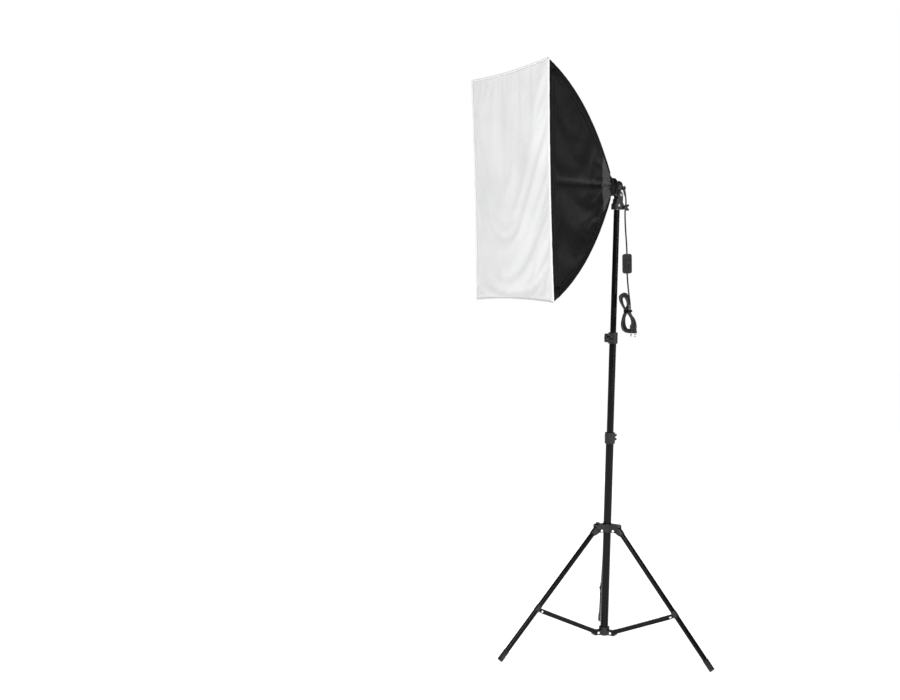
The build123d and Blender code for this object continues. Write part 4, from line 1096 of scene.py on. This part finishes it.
def add_brace_rivets():
    """Domed nickel rivet heads where each brace meets its leg."""
    profile = [(0.0102, 0.0044), (0.0112, 0.0045), (0.0121, 0.0040), (0.0127, 0.0029), (0.0130, 0.0014)]
    for number in (1, 2, 3):
        joint = next(entry for entry in frame["joints"] if entry["name"] == f"brace_{number}_swing")
        axis = Vector(joint["axis"]).normalized()
        outward = Vector((joint["pos_m"][0], joint["pos_m"][1], 0)).normalized()
        end = Vector(joint["pos_m"]) + outward * cos(BRACE_RISE) * BRACE_LENGTH + Z * sin(BRACE_RISE) * BRACE_LENGTH
        rivets = join_parts(f"brace_rivets_{number}", [turned_parts(end, axis * side, profile) for side in (-1, 1)])
        rivets.data.materials.append(nickel)
        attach(rivets, f"brace_arm_{number}")


add_brace_rivets()

# ---------- materials of the CAD nodes
FINISHES = {
    "outer_tube": paint, "middle_tube": paint, "top_tube": paint, "leg_tube": paint, "brace_": paint,
    "foot": rubber, "stand_spigot": nickel, "leg_pivot_pins": nickel, "brace_pivot_pins": nickel,
    "lower_collar_bolt": nickel, "upper_collar_bolt": nickel, "swivel_fasteners": nickel,
    "spring_rods": spring_steel, "rod_hub": spring_steel, "socket_insulator": porcelain, "socket_shell": brass,
    "lamp_cap": brass, "lamp_housing": lamp_plastic, "lamp_tubes": lamp_glass, "cord_gland": vinyl,
}
ROUNDING = {"swivel_clamp": 0.0009, "inline_switch": 0.0014, "switch_rocker": 0.0006, "tilt_bracket": 0.0007}
for name, part in frame["nodes"].items():
    finish = next((FINISHES[key] for key in sorted(FINISHES, key=len, reverse=True) if name.startswith(key)), None)
    if finish is None:
        finish = knob_plastic if name.endswith("knob") else casting
    part.data.materials.clear()
    part.data.materials.append(finish)
    if not part.hide_render:
        round_edges(part, ROUNDING.get(name, 0.0005))


# ---------- stage
def add_light(name, place, target, size, power):
    lamp = bpy.data.lights.new(name, "AREA")
    lamp.shape = "RECTANGLE"
    lamp.size, lamp.size_y = size
    lamp.energy = power
    light = bpy.data.objects.new(name, lamp)
    bpy.context.scene.collection.objects.link(light)
    way = Vector(target) - Vector(place)
    light.matrix_world = Matrix.Translation(place) @ way.to_track_quat("-Z", "Y").to_matrix().to_4x4()


def add_stage():
    """Pale floor, white surroundings and three large soft lights."""
    far = 14
    corners = [(-far, -far, 0), (far, -far, 0), (far, far, 0), (-far, far, 0)]
    floor = add_piece("floor", corners, [(0, 1, 2, 3)], smooth=False)
    floor.location.z = -0.0005
    floor.data.materials.append(make_floor())
    world = bpy.data.worlds.new("studio")
    bpy.context.scene.world = world
    world.use_nodes = True
    tree = world.node_tree
    rays = node(tree, "LightPath").outputs
    # The camera sees white, while diffuse light gets 0.30 of it and reflections 0.08.
    shares = {"Value": rays["Is Glossy Ray"], "To Min": 0.30, "To Max": 0.08}
    mirrored = node(tree, "MapRange", shares).outputs["Result"]
    strength = combine(tree, rays["Is Camera Ray"], mirrored, "MAXIMUM")
    background = tree.nodes["Background"]
    background.inputs["Color"].default_value = (1, 1, 1, 1)
    tree.links.new(strength, background.inputs["Strength"])
    add_light("key_light", (3.4, -3.6, 3.2), (0, -0.2, 1.2), (1.6, 1.6), 105)
    add_light("side_light", (4.6, 1.6, 2.0), (0, 0, 1.0), (0.5, 3.2), 60)
    add_light("rear_light", (-3.4, 3.4, 3.0), (0, 0, 1.0), (0.8, 3.0), 45)
    bpy.context.scene.view_settings.view_transform = "Standard"


add_stage()
